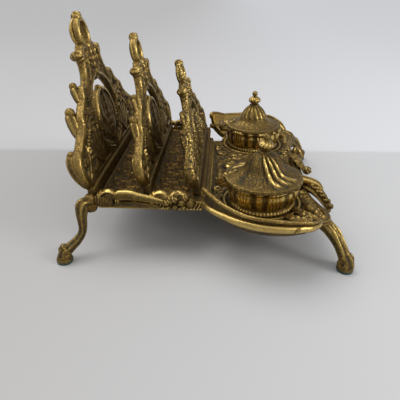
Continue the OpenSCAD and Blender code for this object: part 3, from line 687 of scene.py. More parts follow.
# scroll ends of a panel: rows of [across, up, back], the radii along them and their ribs
HOOKS = (
    ([(80, 8, 0), (84.6, 13.5, 1.4), (87, 20.5, 3.6), (86.4, 27, 5.2), (84, 32, 5.6), (81, 35, 4.8)],
     [1.8, 2.3, 2.6, 2.9, 3.1, 3], 4),
    ([(67, 42, 0.6), (63.6, 46.5, 3), (60.8, 51.5, 4.6), (59.2, 56.5, 5.6), (58.4, 60, 5.4)],
     [2.4, 3.5, 4.3, 4.1, 3.4], 5),
    ([(46.5, 63, 0.4), (44, 67, 2.2), (42, 71.5, 3.6), (40.8, 75.2, 4)], [2.2, 3, 3.3, 2.7], 3),
    ([(33, 68.5, 0), (25.5, 75.5, 0.4), (22, 83, 0.9), (21.2, 89, 1.4)], [2.2, 2.3, 2, 1.7], 3),
    ([(18, 96, 1.2), (13.5, 99.4, 1.6), (9.8, 99.2, 2.2), (8.4, 97, 2)], [1.6, 2.1, 2, 1.6], 0),
    ([(4, 95, 0.4), (8.4, 100, 1.8), (10.4, 106, 3.4), (9.4, 112.6, 3.6), (5.4, 117.4, 2.2), (1.4, 119, 0.8)],
     [1.5, 1.8, 2, 2, 1.8, 1.5], 3))
# bead beside the shaft and small curls under the clubs: across, up, back, radius, squash, lobes, twist, sides
CURLS = [(21.3, 93.6, 2.6, 3.9, 0.95, 7, 0.8), *((*spot, 0.95, 4, 0.6, 12) for spot in (
    (77.6, 36.5, 1.8, 2.2), (70.5, 41.5, 1.2, 1.7), (51, 60, 1.4, 1.8), (36.4, 70, 0.8, 1.6)))]


def rack_panel(name):
    """One leaf of the letter rack: the pierced casting, scroll ends that roll back off its edge by roll times
    their drawn depth, and its foot bar. Points [across, up the face, behind its middle] are turned about X by
    the lean."""
    base, height, roll, kind = PANELS[name]
    lo = box(name)[0]
    y0, c, s = lo[1] + stand.bar / 2, math.cos(stand.lean[name]), math.sin(stand.lean[name])

    def place(x, up, depth):
        return np.stack([x, y0 + up * s + depth * c, lo[2] + up * c - depth * s], -1)

    sx, sy = base / DRAWN[0], height / DRAWN[1]
    k = math.sqrt(sx * sy)

    def drawn(side, x, up, back):
        return place(side * x * sx, up * sy, back * roll)

    w = Work()
    # shade=-0.25 paints light onto each panel's face away from its edges, where the panels in front shade it
    w.casting(lambda x, y: rack_pattern(x, y, base, height, stand.relief), (-base * 1.14, 0.3),
              (base * 1.14, height * 1.02), stand.step, 1.7, place, rim=0.7, ease=1.5, back=0.4, shade=-0.25)
    for side, _ in SIDES:
        for rows, radii, ribs in HOOKS:
            path = drawn(side, *np.array(rows, float).T)
            w.tube(path, [r * k for r in radii], 24, 6, ribs=ribs, deep=0.10, value=0.35)
            w.ball(path[-1], 1.12 * radii[-1] * k, sides=18)
        for x, up, back, radius, *form in CURLS:
            w.ball(drawn(side, x, up, back), radius * k, *form)
    w.ball(drawn(1, 0, 120.2, 0.6), 3.6 * k, 1.05, 6, 0.8)
    half, bar = base + 0.7, stand.bar / 2
    w.block((-half, y0 - bar, lo[2]), (half, y0 + bar, lo[2] + stand.bar_up), 0.9, 0.05)
    return w.finish(name, paint(kind))


def rack_floor(name):
    """Plate under the letters: its top is a low relief of thin scrolls and flowers in a plain border."""
    lo, hi = box(name)
    x1, y0, y1 = stand.floor_width / 2, lo[1], stand.floor_back
    z, half = (lo[2] + hi[2]) / 2, (hi[2] - lo[2]) / 2
    w = Work()

    def design(x, y):
        r = Relief(np.abs(x), y)
        r.ground([(-x1, y0), (x1, y0), (x1, y1), (-x1, y1)])
        r.knob(*stand.back_stud, 6.3, 0.3)
        for mid in stand.slots:
            for k in range(5):
                cx, up = 8 + 15.5 * k, 1 if k % 2 else -1
                for shape, rows, *form in (
                        (r.stroke, [(-8, -13), (-3, -8), (4, -8.5), (6, -2), (0, 1), (-2, -3)],
                         [0.6, 1, 0.6], 0.9),
                        (r.stroke, [(-7, 12), (-1, 9), (1, 4), (7, 3), (8, 8), (4, 10)], [0.6, 1, 0.6], 0.9),
                        (r.leaf, [(-6, -4), (-4, 2), (-6, 8)], 2.4, 0.9, 4),
                        (r.leaf, [(2, -6), (6, -11), (1, -13)], 2, 0.9, 3)):
                    shape([(cx + x, mid + up * y) for x, y in rows], *form)
                r.knob(cx + 4, mid + up * 13.2, 1.7, 0.8, 5)
            for edge in (-16, 16):
                r.stroke([(0, mid + edge), (78, mid + edge)], [0.8], 0.7)
            r.stroke([(79, mid - 16), (79, mid + 16)], [0.8], 0.7)
        return r.inside, r.height + 0.1 * np.cos(2 * np.pi * r.x / 1.7) * np.cos(2 * np.pi * r.y / 1.7)

    w.casting(design, (-x1 - 12, y0 - 1), (x1 + 12, y1 + 3), 0.6, half - 0.3,
              lambda x, y, d: np.stack([x, y, z - 0.3 - d], -1), rim=1, ease=1.2, back=0, spread=2.2)
    return w.finish(name, paint("dark"))


def rack_rail(name):
    """Rail at an end of the rack: low arches over a ribbed strip, and on its outer face a fan, a stout C scroll
    that tapers forward, and a row of cast knobs."""
    side, (lo, hi) = side_of(name), box(name)
    x0, y0, y1, base = (lo[0] + hi[0]) / 2, lo[1], hi[1], stand.floor_top
    w = Work()

    def design(x, y):
        r = Relief(x, y)
        r.ground([(y0 + 0.6, base - 5.6), (y1 - 0.6, base - 5.6), (y1 - 0.6, base + 1.4),
                  (y0 + 0.6, base + 1.4)])
        ribs = 0.5 + 0.5 * np.cos(2 * np.pi * (r.x + 0.5 * (r.y - base)) / 2.6)
        r.height = np.where(r.inside > 0, 1.2 * ribs * smooth((base + 1.2 - r.y) / 2), 0)
        for mid in stand.slots:
            for s in (-1, 1):
                c = mid + 6.4 * s
                arch = np.radians(np.linspace(0, 180, 9))
                r.stroke(np.stack([c + 7.4 * np.cos(arch), base + 1 + 7.6 * np.sin(arch)], 1),
                         [1.8, 1.5, 1.8], 1.8, 1)
                r.leaf([(c + 5.5 * s, base - 1), (c + 7.4 * s, base + 4), (c + 5.2 * s, base + 9)], 2.2, 1.9, 4)
            r.knob(mid, base + 4.6, 3, 2.2, 6)
        r.stroke([(y0 + 1.5, base - 4.4), (y1 - 1.5, base - 4.4)], [1.1], 1.4, beads=2.2)
        return r.inside, r.height

    def place(x, y, d):
        return np.stack([x0 - side * d, x, y], -1)

    w.casting(design, (y0 - 0.5, base - 7), (y1 + 0.5, base + 11.5), 0.42, 1.5, place, rim=0.7, ease=1.2,
              back=0.3)
    out = x0 + side * 2.6
    a, b = stand.slots[1] + 5, stand.slots[0]

    def outer(*rows):
        """Rows of [out from the rail's face, along it, up from the floor] in the frame."""
        return moved(rows, (out, 0, base), (side, 1, 1))

    # stout scroll: rolled at its back end and tapering forward
    w.tube(outer((0.4, b + 1.6, 4.4), (0.9, b - 2.6, 6.6), (0.9, b - 11, 6.8), (0.8, (a + b) / 2 - 2, 5.2),
                 (0.7, a + 4, 3), (0.4, a - 6, 0.4)),
           [3, 3.8, 3.6, 3, 2.2, 1.2], 24, 8, flat=0.8, up=(1, 0, 0), ribs=2, deep=0.07, value=0.8)
    w.tube(outer((0, b + 4, -2), (0.8, (a + b) / 2 + 4, -1), (0.4, a + 2, -3)),
           [1.4, 2.3, 1.4], 14, 8, up=(1, 0, 0), ribs=3, value=0.2)
    # fan between the scroll and the leg
    for k in range(10):
        c = b + 4.4 + 1.9 * k
        w.tube(outer((-0.8, c, -4.4), (1.1, c - 0.4, 0.6), (0.2, c - 0.2, 4.6 + 0.16 * k)),
               [0.9, 1.25, 1], 10, 4, value=0.1)
    # knobs and leaves in front of the scroll
    for k, (y, up, size) in enumerate((
            (27, 1.8, 3.2), (21.4, 4.4, 3.1), (16, 1.6, 3), (13.4, 5.6, 2.9), (19.6, 8.2, 2.3), (21, -2.4, 2.4),
            (14.6, -2.8, 2.3), (9.4, 1.6, 3.8), (26, -3.4, 2), (27.6, 6.4, 2.2))):
        w.ball(outer((0.3 + 0.3 * (k % 2), y, up))[0], size, 0.95, 6 if size < 3.7 else 0, 0.7, 16)
    return w.finish(name, paint("brass"))


# ---------------------------------------------------------------- ink tray

TRAY_RADIUS = 38.0  # of the round seats that the raised ends run round


def lip_rise(angle):
    """Height of a raised end above the tray over the angle round its circle, in degrees from the outward
    side."""
    return np.interp(angle, [-52, -38, -20, 0, 25, 45, 58, 66, 70], [4, 10, 14.5, 16.5, 17, 19, 23, 24.6, 23.4])


def raised_end(w, side):
    """Scoop round one end of the tray: a closed section carried round the end's circle. It rises from the tray
    as a hollow wall with a thin rolled rim, and a round moulding bellies out below the rim; lip_rise gives its
    height."""
    cx, cy, tz, inner = side * stand.tray_end[0], stand.tray_end[1], stand.tray_top, TRAY_RADIUS
    angle = np.linspace(-52, 68, 121)

    def lines(deg):
        """Rise, its lower part, radius of the rim and of the moulding, and the moulding's height."""
        rise = lip_rise(deg)
        low = np.minimum(rise, 17)
        grow = np.minimum(1, low / 16.5 + 0.22)
        flare = smooth((deg - 40) / 28)
        return rise, low, inner + 12.4 * grow + 4.6 * flare, inner + 13.2 * grow + 3.4 * flare, tz + 0.62 * low

    rise, low, rim, belly, mid = (v[:, None] for v in lines(angle))
    top = tz + rise
    rows = [(inner - 1.6 + 0 * rise, tz - 2.2 + 0 * rise),
            (inner + 0.35 * (belly - inner), tz - 2.4 + 0.16 * low),
            (belly - 3.4, mid - 3.6), (belly - 1.8, mid - 2), (belly - 1.8, mid + 1.6),
            (rim - 1.1, mid + 0.32 * (top - mid) + 1), (rim - 0.3, top - 1.4), (rim + 0.1, top - 0.2),
            (rim - 0.8, top + 0.2), (rim - 1.7, top - 0.6), (rim - 2.6, tz + 0.62 * rise),
            (rim - 5.4, tz + 0.30 * low), (inner + 0.2 * (rim - inner), tz + 0.09 * low),
            (inner - 1.6 + 0 * rise, tz - 0.15 + 0 * rise)]
    loop = np.concatenate([np.stack(r, -1) for r in rows], 1)
    n, steps = loop.shape[1], 4
    fine = cubic(*(np.roll(loop, s, 1)[:, :, None] for s in (1, 0, -1, -2)),
                 (np.arange(steps) / steps)[:, None])
    fine = fine.reshape(len(angle), n * steps, 2)
    share = np.arange(n * steps) / steps
    inside = band(share, 8.4, 1, 12.6, 0.8)
    tip = smooth(1.2 - np.abs(share - 7.6))
    # low leaves on the wall's hollow side near the front
    ahead = smooth((-8 - angle) / 20)[:, None]
    leafy = np.abs(np.cos(np.radians(angle)[:, None] * 22 + 0.5 * share[None]))
    fine[..., 1] += inside * ahead * 0.7 * leafy
    # the hollow inner wall gets a value near polished: painted light and reflection on the inside of the scoop
    value = inside * (0.95 - ahead * (0.9 - leafy)) + tip * 0.4 - 0.25 * (share > 1.5) * (share < 6)
    th = np.radians(angle)[:, None]
    grid = np.stack([cx + side * fine[..., 0] * np.cos(th), cy + fine[..., 0] * np.sin(th), fine[..., 1]], -1)
    w.skin(grid, np.clip(value, -1, 1))

    def at(deg, radius, z):
        turned, radius, z = np.broadcast_arrays(np.radians(deg), radius, z)
        return np.stack([cx + side * radius * np.cos(turned), cy + radius * np.sin(turned), z], -1)

    along = np.linspace(-50, 66.5, 44)
    _, _, rim, belly, mid = lines(along)
    w.tube(at(along, rim - 0.7, tz + lip_rise(along) - 0.2), [1, 1.25, 1.35, 1.5], 12, 4, value=0.62)
    w.tube(at(along, belly - 2, mid), [1.6, 2.5, 2.9, 2.9, 2.8, 2.2], 18, 4, value=0.85)
    w.tube(at(along[2:-3], 38.9, tz + 1.1), [0.8], 8, 3)
    # scroll where the rim stops, and a round boss where the moulding meets the rail
    curl = volute(0, 0, 3.4, 90, -1.1)
    end, degrees = 66, 57.3  # place of the scroll, and degrees to a radian
    z0, r0 = tz + lip_rise(end), lines(end)[2]
    w.tube(at(end + curl[:, 0] * degrees / r0 * 0.8, r0 - 1.0 + 0.2 * curl[:, 0], z0 - 3.4 + curl[:, 1]),
           [1.5, 1.3, 1, 0.8], 10, 4, value=0.6)
    w.ball(at(67.5, belly[-1] - 2.2, mid[-1]), 3.3, 0.95, sides=16)
    # acanthus where the end meets the leg
    for deg, rake, reach in ((-50, 9, 1), (-41, 8, 1), (-31, 8, 0.85), (-22, 7, 0.6)):
        lift, wide = lip_rise(deg), lines(deg)[3]
        rows = at([deg, deg + rake * 0.5, deg + rake, deg + rake * 1.5],
                  [39.5, wide - 4, wide + 0.4, wide + 0.8],
                  [tz + 0.6, tz + 0.45 * lift, tz + 0.72 * lift, tz + 0.95 * lift * reach])
        w.leaf3d(rows, 4, 0.9, (side * math.cos(math.radians(deg)), math.sin(math.radians(deg)), 0.1), 5)


def ink_tray(name):
    """Dished tray: grained pen trough, scroll work round the seats of the wells, raised ends, a leafy front
    edge and the riser that carries it under the rack."""
    tz, front = stand.tray_top, stand.tray_front
    ex, ey = stand.tray_end
    w = Work()

    def design(x, y):
        r = Relief(np.abs(x), y)
        plate = np.minimum(np.minimum(ex - r.x, y - front), -0.5 - y)
        disc = np.minimum(TRAY_RADIUS - np.hypot(r.x - ex, y - ey), y - front)
        corner = 6.2 - np.hypot(r.x - stand.front_stud[0], y - stand.front_stud[1])
        r.inside = np.maximum(np.maximum(plate, disc), corner)
        r.height = np.where((r.x < 24) & (y > front + 9), 0.8 * (0.5 + 0.5 * net(r.x, y, 1.9)), 0)
        r.stroke([(24.5, front + 9), (24.5, -8)], [1.3], 1.5, beads=2.6)
        r.stroke([(0, front + 8), (24.5, front + 8)], [1.2], 1.3)
        r.stroke([(0, front + 2.2), (ex, front + 2.2)], [1.8], 1.6, beads=4.2)
        r.stroke([(0, -3.4), (ex - 4, -3.4)], [1.6], 1.6, beads=3.4)
        d = np.hypot(r.x - stand.well[0], y - stand.well[1])
        bearing = np.arctan2(y - stand.well[1], r.x - stand.well[0])
        ring = 1.8 * np.sqrt(np.clip(1 - ((d - 29.4) / 1.5)**2, 0, 1))
        fan = band(d, 31, 1.5, 37.5, 2) * (0.5 + 1.2 * np.abs(np.cos(15 * bearing + 0.35 * d)))
        r.height = np.maximum(r.height, np.maximum(ring, fan) * (y > front + 3) * (r.x > 25.5))
        for x0, y0, size, start, turns in (
                (33, -12, 5, 200, 1.2), (45, -8.5, 4, 20, -1.1), (30, -24, 4, 250, -1.2),
                (29, -64, 4.4, 120, 1.2), (36, -75, 4.2, 40, -1.2), (47, -79, 3.4, 200, 1.1),
                (58, -10, 3.6, 240, 1.1), (10, -22, 4.6, 20, 1.1),
                (10, -66, 4.6, 340, -1.1)):
            r.stroke(volute(x0, y0, size, start, turns), [1.1, 1.5, 1], 2)
            r.knob(x0, y0, 0.36 * size, 2.2)
        for rows in ([(24, -18), (31, -18), (38, -14), (44, -14)], [(26, -58), (27, -68), (30, -78), (40, -81)],
                     [(62, -78), (70, -79), (77, -76), (82, -68)],
                     [(0, front + 12), (0, front + 22), (0, front + 34)],
                     [(66, -6), (58, -6), (51, -8)], [(4, -10), (12, -14), (19, -22), (18, -32)]):
            r.leaf(rows, 4.4, 1.8, 6)
        r.knob(0.5, -18.5, 4.2, 3.4)
        return r.inside, r.height

    w.casting(design, (-ex - 40, front - 1), (ex + 40, 0.5), 0.84, 1.1,
              lambda x, y, d: np.stack([x, y, tz - 1.1 - d], -1), rim=0.9, ease=1, back=0)
    for side, _ in SIDES:
        raised_end(w, side)
        mirror, edge = (side, 1, 1), (0, front, tz)
        # front edge: a rolled moulding that swells to the leg, with overlapping leaves
        w.tube(moved([(1, 0.8, 0.4), (30, 2.2, 0.2), (52, 2, 0), (68, -1.2, 0.2), (82, -5.4, 0.4),
                      (93, -4, 1.2), (99, 5, 3)], edge, mirror), [1.7, 1.8, 2, 2.4, 2.8, 2.6, 1.8], 24, 7,
               ribs=5, value=0.3)
        w.leaf3d(moved([(50, 4, 0.2), (66, 0.4, 0.6), (82, -3, 1), (96, 0.6, 1.8)], edge, mirror), 5, 1.2,
                 (0, -0.1, 1), 8, cup=-0.1)
        # acanthus over the corner, running on to the leg
        for rows, wide in (([(60, -79, 1.2), (70, -80, 2.6), (80, -82, 3.2), (89, -86, 1.2)], 4.6),
                           ([(76, -68, 1.4), (84, -72, 3.2), (90, -79, 3.6), (94, -85, 1.6)], 4.4),
                           ([(88, -60, 2.4), (95, -66, 4.6), (97, -74, 4.8), (96, -81, 2.4)], 3.8)):
            w.leaf3d(moved(rows, (0, 0, tz), mirror), wide, 1.3, (0, -0.15, 1), 6, cup=-0.2)
    wide = ex - 6
    zl, zh = tz - 2.5, stand.floor_top - 3

    def riser(x, y):
        x = np.abs(x)
        return np.minimum(np.minimum(wide - x, y - zl - 0.2), zh - 0.1 - y), 1.1 * np.maximum(net(x, y, 3.2), 0)

    w.casting(riser, (-wide - 1, zl - 0.5), (wide + 1, zh + 0.5), 0.7, 1.2,
              lambda x, y, d: np.stack([x, -1.65 + d, y], -1), rim=0.8, ease=0.8, back=0)
    w.block((-wide, -0.8, zh - 2.5), (wide, 12, zh), 0.4, -0.4)
    return w.finish(name, paint("brass"))


def front_spray(name):
    """Cast spray on the tray's front edge: a broad leaf between two knobs over a small shell, and on its left a
    thick scroll that turns into a serrated leaf drooping past the tray."""
    front, tz, s = stand.tray_front, stand.tray_top, stand.spray
    w = Work()

    def rows(*points, reach=1):
        """Points of [across by reach, back from the tray's front, up from its top] in the frame."""
        return moved(points, (0, front, tz), (reach, 1, 1))

    w.block(*rows((-22, 0.2, 0), (22, 6.6, 3.6)), 1.2, 0.1)
    spine = rows((-0.30, 4.4, 2.4), (-0.45, 3.4, 3.6), (-0.57, -0.6, 3.8), (-0.67, -5.2, 3), (-0.78, -8.8, 1),
                 (-0.89, -11, -1.8), (-0.98, -12.2, -4.4), reach=s)
    w.leaf3d(spine, 5.4, 2.4, (0, -0.30, 1), 9, cup=-0.30, steps=8)
    w.tube(spine, [2.8, 4.2, 4.9, 4.6, 3.7, 2.6, 1.2], 36, 8, flat=0.85, ribs=7, value=0.15, deep=0.12)
    # rolled scroll over the leaf's root, and the lobes that hang from it
    w.tube(rows((-0.36, 8, 3.4), (-0.47, 7.2, 7), (-0.56, 3.4, 8.4), (-0.60, -1.6, 8.4), (-0.64, -6.6, 7.4),
                (-0.71, -9.8, 5), reach=s), [1.8, 3.1, 3.4, 3, 2.3, 1.1], 30, 7, ribs=3, value=0.75, deep=0.08)
    for k in range(7):
        x, y, z = -(0.58 + 0.062 * k) * s, -2.2 - 9.6 * smooth(k / 7), 7.6 - 0.17 * k * k
        w.tube(rows((x - 1, y + 1.8, z), (x + 0.6, y - 2.2, z - 1.4), (x + 1.2, y - 3.2, z - 4.6)),
               [1.1, 1.6, 0.9], 10, 4, value=0.5)
    # broad leaf that runs down from the right knob to the left one
    w.leaf3d(rows((20, 5, 4.4), (12, 3.4, 8.2), (2, 1, 7.6), (-8, -1.4, 5.2), (-17, -1.8, 3.2)), 6.6, 1.8,
             (0, -0.55, 1), 5, cup=-0.25, steps=8)
    w.tube(rows((18, 4.4, 7.4), (9, 3.4, 9.6), (-2, 0.6, 8), (-12, -2.2, 5.6)), [1.2, 1.6, 1.5, 1], 14, 7,
           value=0.5)
    for spot, *form in (((18, 0.4, 10), 4.9, 0.98, 5, 0.4), ((-15, -3.6, 5.6), 3.8, 0.98, 6, 0.7)):
        w.ball(rows(spot)[0], *form)
    # shell between the knobs
    for k in range(5):
        a = math.radians(-56 + 28 * k)
        x, z = 6.6 * math.sin(a), 6.0 * math.cos(a)
        w.tube(rows((0, 3.2, 2.4), (0.6 * x, -0.6, 1.6 + 0.6 * z), (x, -1, 2.0 + z)), [1.5, 1.9, 1.3], 10, 5)
    w.leaf3d(rows((6, 3.6, 3.4), (13, 1.4, 5), (19, 1.6, 3.4), (23.5, 2.6, 0.8)), 4.4, 1.2, (0, -0.4, 1), 5,
             cup=-0.25)
    return w.finish(name, paint("brass"))


# ---------------------------------------------------------------- wells and lids

def well_axis(side):
    """Foot of a well's axis, at height 0."""
    return np.array([side * stand.well[0], stand.well[1], 0])


def well(name):
    """Ink well: a bowl with fine upright flutes between leaf tips and a beaded foot under a plain rim, open for
    its glass, with the two outer knuckles of the hinge."""
    centre = well_axis(side_of(name))
    tz, rim = stand.tray_top, stand.well_rim
    w = Work()
    # foot, swell of the bowl as shares of its height, rim, and the inside down to its floor
    rows = np.vstack([
        moved([(AXIS, 0), (20, 0), (24.6, 0.1), (25.4, 1.2), (24.6, 2.6), (23.6, 3.6), (23.8, 5)], (0, tz)),
        moved([(24.8, 0.36), (25.8, 0.52), (26.2, 0.66), (25.6, 0.78), (25.7, 0.85), (27.2, 0.90)], (0, tz),
              (1, rim - tz)),
        moved([(27.8, -0.9), (27.2, -0.15), (25, 0), (23.7, -0.1), (23.45, -0.6)], (0, rim)),
        moved([(23.45, 6), (23.45, 3.1), (20, 3), (AXIS, 3)], (0, tz))])

    def flutes(a, s):
        belt = band(s, 0.31, 0.03, 0.545, 0.03)
        wave = np.cos(19 * a) * 0.5 + 0.5
        tips = 0.5 + 0.5 * np.cos(7 * a + 1.2)
        leaf = smooth((tips - 0.42 - 1.9 * np.abs(s - 0.36)) / 0.10) * belt
        veins = np.abs(np.cos(31 * a + 20 * s))
        low = band(s, 0.235, 0.02, 0.32, 0.02)
        beads = np.abs(np.cos(30 * a))
        plain = belt * (1 - leaf)
        out = plain * (0.75 * wave - 0.3) + leaf * (0.7 + 0.6 * veins) + low * 0.5 * beads
        value = plain * (1.3 * wave - 0.35) + leaf * (0.9 * veins + 0.1) + low * (0.7 * beads - 0.25) + 0.34
        return out, 0, np.clip(value, -1, 1)

    w.turned(spaced(rows, 170), centre, 288, flutes)
    hy, hz = stand.hinge
    for s in (-1, 1):
        x, half = centre[0] + s * 6.8, 2.5
        knuckle(w, x - half, x + half, hy, hz)
        w.block((x - half, centre[1] + 25, rim - 3), (x + half, hy + 1.6, rim - 0.1), 0.5, 0.2)
    return w.finish(name, paint("brass"))


def knuckle(w, x0, x1, y, z):
    """Barrel of a hinge along X with a bore for its pin: the section's inner and outer circles are joined by
    the end faces, which are drawn in by a small round."""
    r0, r1 = stand.pin + 0.06, 2.6
    rows = [(x0, r0), (x0, r1 - 0.4), (x0 + 0.4, r1), (x1 - 0.4, r1), (x1, r1 - 0.4), (x1, r0)]
    a = turn(32)
    grid = np.stack([np.stack([x + 0 * a, y + r * np.cos(a), z + r * np.sin(a)], -1) for x, r in rows])
    w.skin(grid, 0.3, wrap_rows=True)


def lid(name):
    """Domed lid, hollow inside, with a spigot and the middle knuckle of the hinge. The left one is swept by two
    bunches of three ropes, each after a pair of broad lobes; the right one is a waisted bell of raking ribs
    over a smooth flared brim. The outside runs up the profile in the first rows, and the inside comes down in
    the others."""
    side = side_of(name)
    c = well_axis(side)
    cx, cy, _ = c
    z = stand.well_rim + LID_GAP
    swept, bell, top = side < 0, stand.bell, z + BRIM
    r1 = stand.lid_radius - (0 if swept else 1.8)
    w = Work()
    f = [(0.975, 0), (0.87, 0.035), (0.75, 0.08), (0.63, 0.14), (0.545, 0.22), (0.485, 0.33), (0.44, 0.47),
         (0.39, 0.62), (0.32, 0.77), (0.22, 0.90), (0.13, 0.98)]
    inner = [(a * r1 - 2.2, top + b * bell - 2.2) for a, b in f[8:1:-1]]
    rows = ([(22.2, z), (26, z), (r1 - 0.6, z + 0.1), (r1, z + 0.9), (r1 - 0.6, z + 1.9)]
            + [(a * r1, top + b * bell) for a, b in f] + [(AXIS, top + bell)])
    under = [(AXIS, inner[0][1])] + inner + [(20.3, z - 1.1), (22.2, z - 1.1), (22.25, z - 0.6)]
    outer, inside = 150, 44  # points along each
    index = np.arange(outer + inside)[:, None]
    s, out = np.clip(index / (outer - 1), 0, 1), index < outer

    def sweep(a, _):
        if swept:
            zone = band(s, 0.25, 0.08, 0.96, 0.22) * out
            phase = (2 * (a + 1.15 * (s - 0.45)) / (2 * np.pi) - 0.36) % 1.0
            broad = phase < 0.667
            u = np.where(broad, 3 * phase % 1, 3 * phase - 2)
            wave = np.where(broad, 0.75 * np.abs(np.sin(np.pi * u))**0.45, np.abs(np.sin(3 * np.pi * u))**0.75)
            brush = 0.12 * np.cos(47 * a + 8 * s)
            rise = zone * (1.9 * wave - 0.9 + brush)
            value = zone * (np.where(broad, 1.1 * wave - 0.75, 1.9 * wave - 0.95) + brush) + 0.1
            edge = 0.8 * wave
        else:
            zone = band(s, 0.50, 0.10, 0.97, 0.06) * out
            wave = np.abs(np.cos(7 * a + 3.0 * s))
            low = band(s, 0.27, 0.04, 0.56, 0.1) * out
            fine = np.cos(22 * a + 9 * s)
            rise = zone * (0.7 * wave - 0.35) + low * 0.06 * fine
            value = zone * (0.9 * wave - 0.3) + low * (0.08 * fine + 0.4) + 0.1
            edge = 0.35 * np.abs(np.cos(9 * a))
        scallop = np.exp(-((s - 0.215) / 0.05)**2) * out * (edge - 0.3)
        value = np.where(out, value + 0.5 * np.exp(-((s - 0.215) / 0.03)**2), -0.6)
        return rise, scallop, np.clip(value, -1, 1)

    w.turned(np.vstack([spaced(rows, outer), spaced(under, inside)]), c, 330, sweep)
    w.turned([(3, 0), (4.6, 0.1), (5, 0.9), (4.4, 1.7), (3.4, 1.9), (AXIS, 1.9)], (cx, cy, top + bell - 1.2),
             40, steps=3)
    hy, hz = stand.hinge
    knuckle(w, cx - 3.95, cx + 3.95, hy, hz)
    w.block((cx - 3.9, cy + r1 - 3.4, z + 0.05), (cx + 3.9, hy + 1.4, z + 2.2), 0.5, 0.2)
    w.leaf3d([c + (0, r1 + 1.5, z + 2), c + (0, r1 - 4, z + 3.6), c + (0, r1 - 10, top + 0.2 * bell)], 3.4, 0.9,
             (0, 0.5, 1), 3)
    return w.finish(name, paint("brass"))


def finial(name):
    """Knob of a lid: a flattened ball with raking gadroons over a waisted foot, and a plain bead on a short
    neck."""
    side = side_of(name)
    c = well_axis(side)
    crown = stand.well_rim + LID_GAP + BRIM + stand.bell
    ball, bead = stand.ball, stand.bead
    mid, high = crown + 1.2 + 0.6 * ball, 0.6 * ball
    w = Work()
    a = np.radians(np.arange(-62, 63, 6))
    rows = [(AXIS, crown - 4.5), (1.4, crown - 4.4), (1.5, crown - 0.2), (3.3, crown + 0.1), (3.4, crown + 0.6),
            (2.3, crown + 1.2)]
    rows += list(zip(ball * np.cos(a), mid + high * np.sin(a)))
    rows += [(r, mid + high + z) for r, z in ((1.5, 0.5), (1.4, 1.2), (AXIS, 1.3))]

    def gadroons(ang, s):
        belt = band(s, 0.42, 0.1, 0.90, 0.1)
        wave = np.abs(np.cos(6 * (ang + 2.2 * s * side)))
        # the raised value over the whole finial, highest on the gadroons, is a painted highlight on the ball
        return belt * (0.28 * wave - 0.14), 0, 0.6 + belt * (0.5 * wave - 0.2)

    w.turned(spaced(rows, 90), c, 96, gadroons)
    w.ball(c + (0, 0, mid + high + 0.6 + 0.8 * bead), bead, 0.98)
    return w.finish(name, paint("brass"))


# ---------------------------------------------------------------- legs

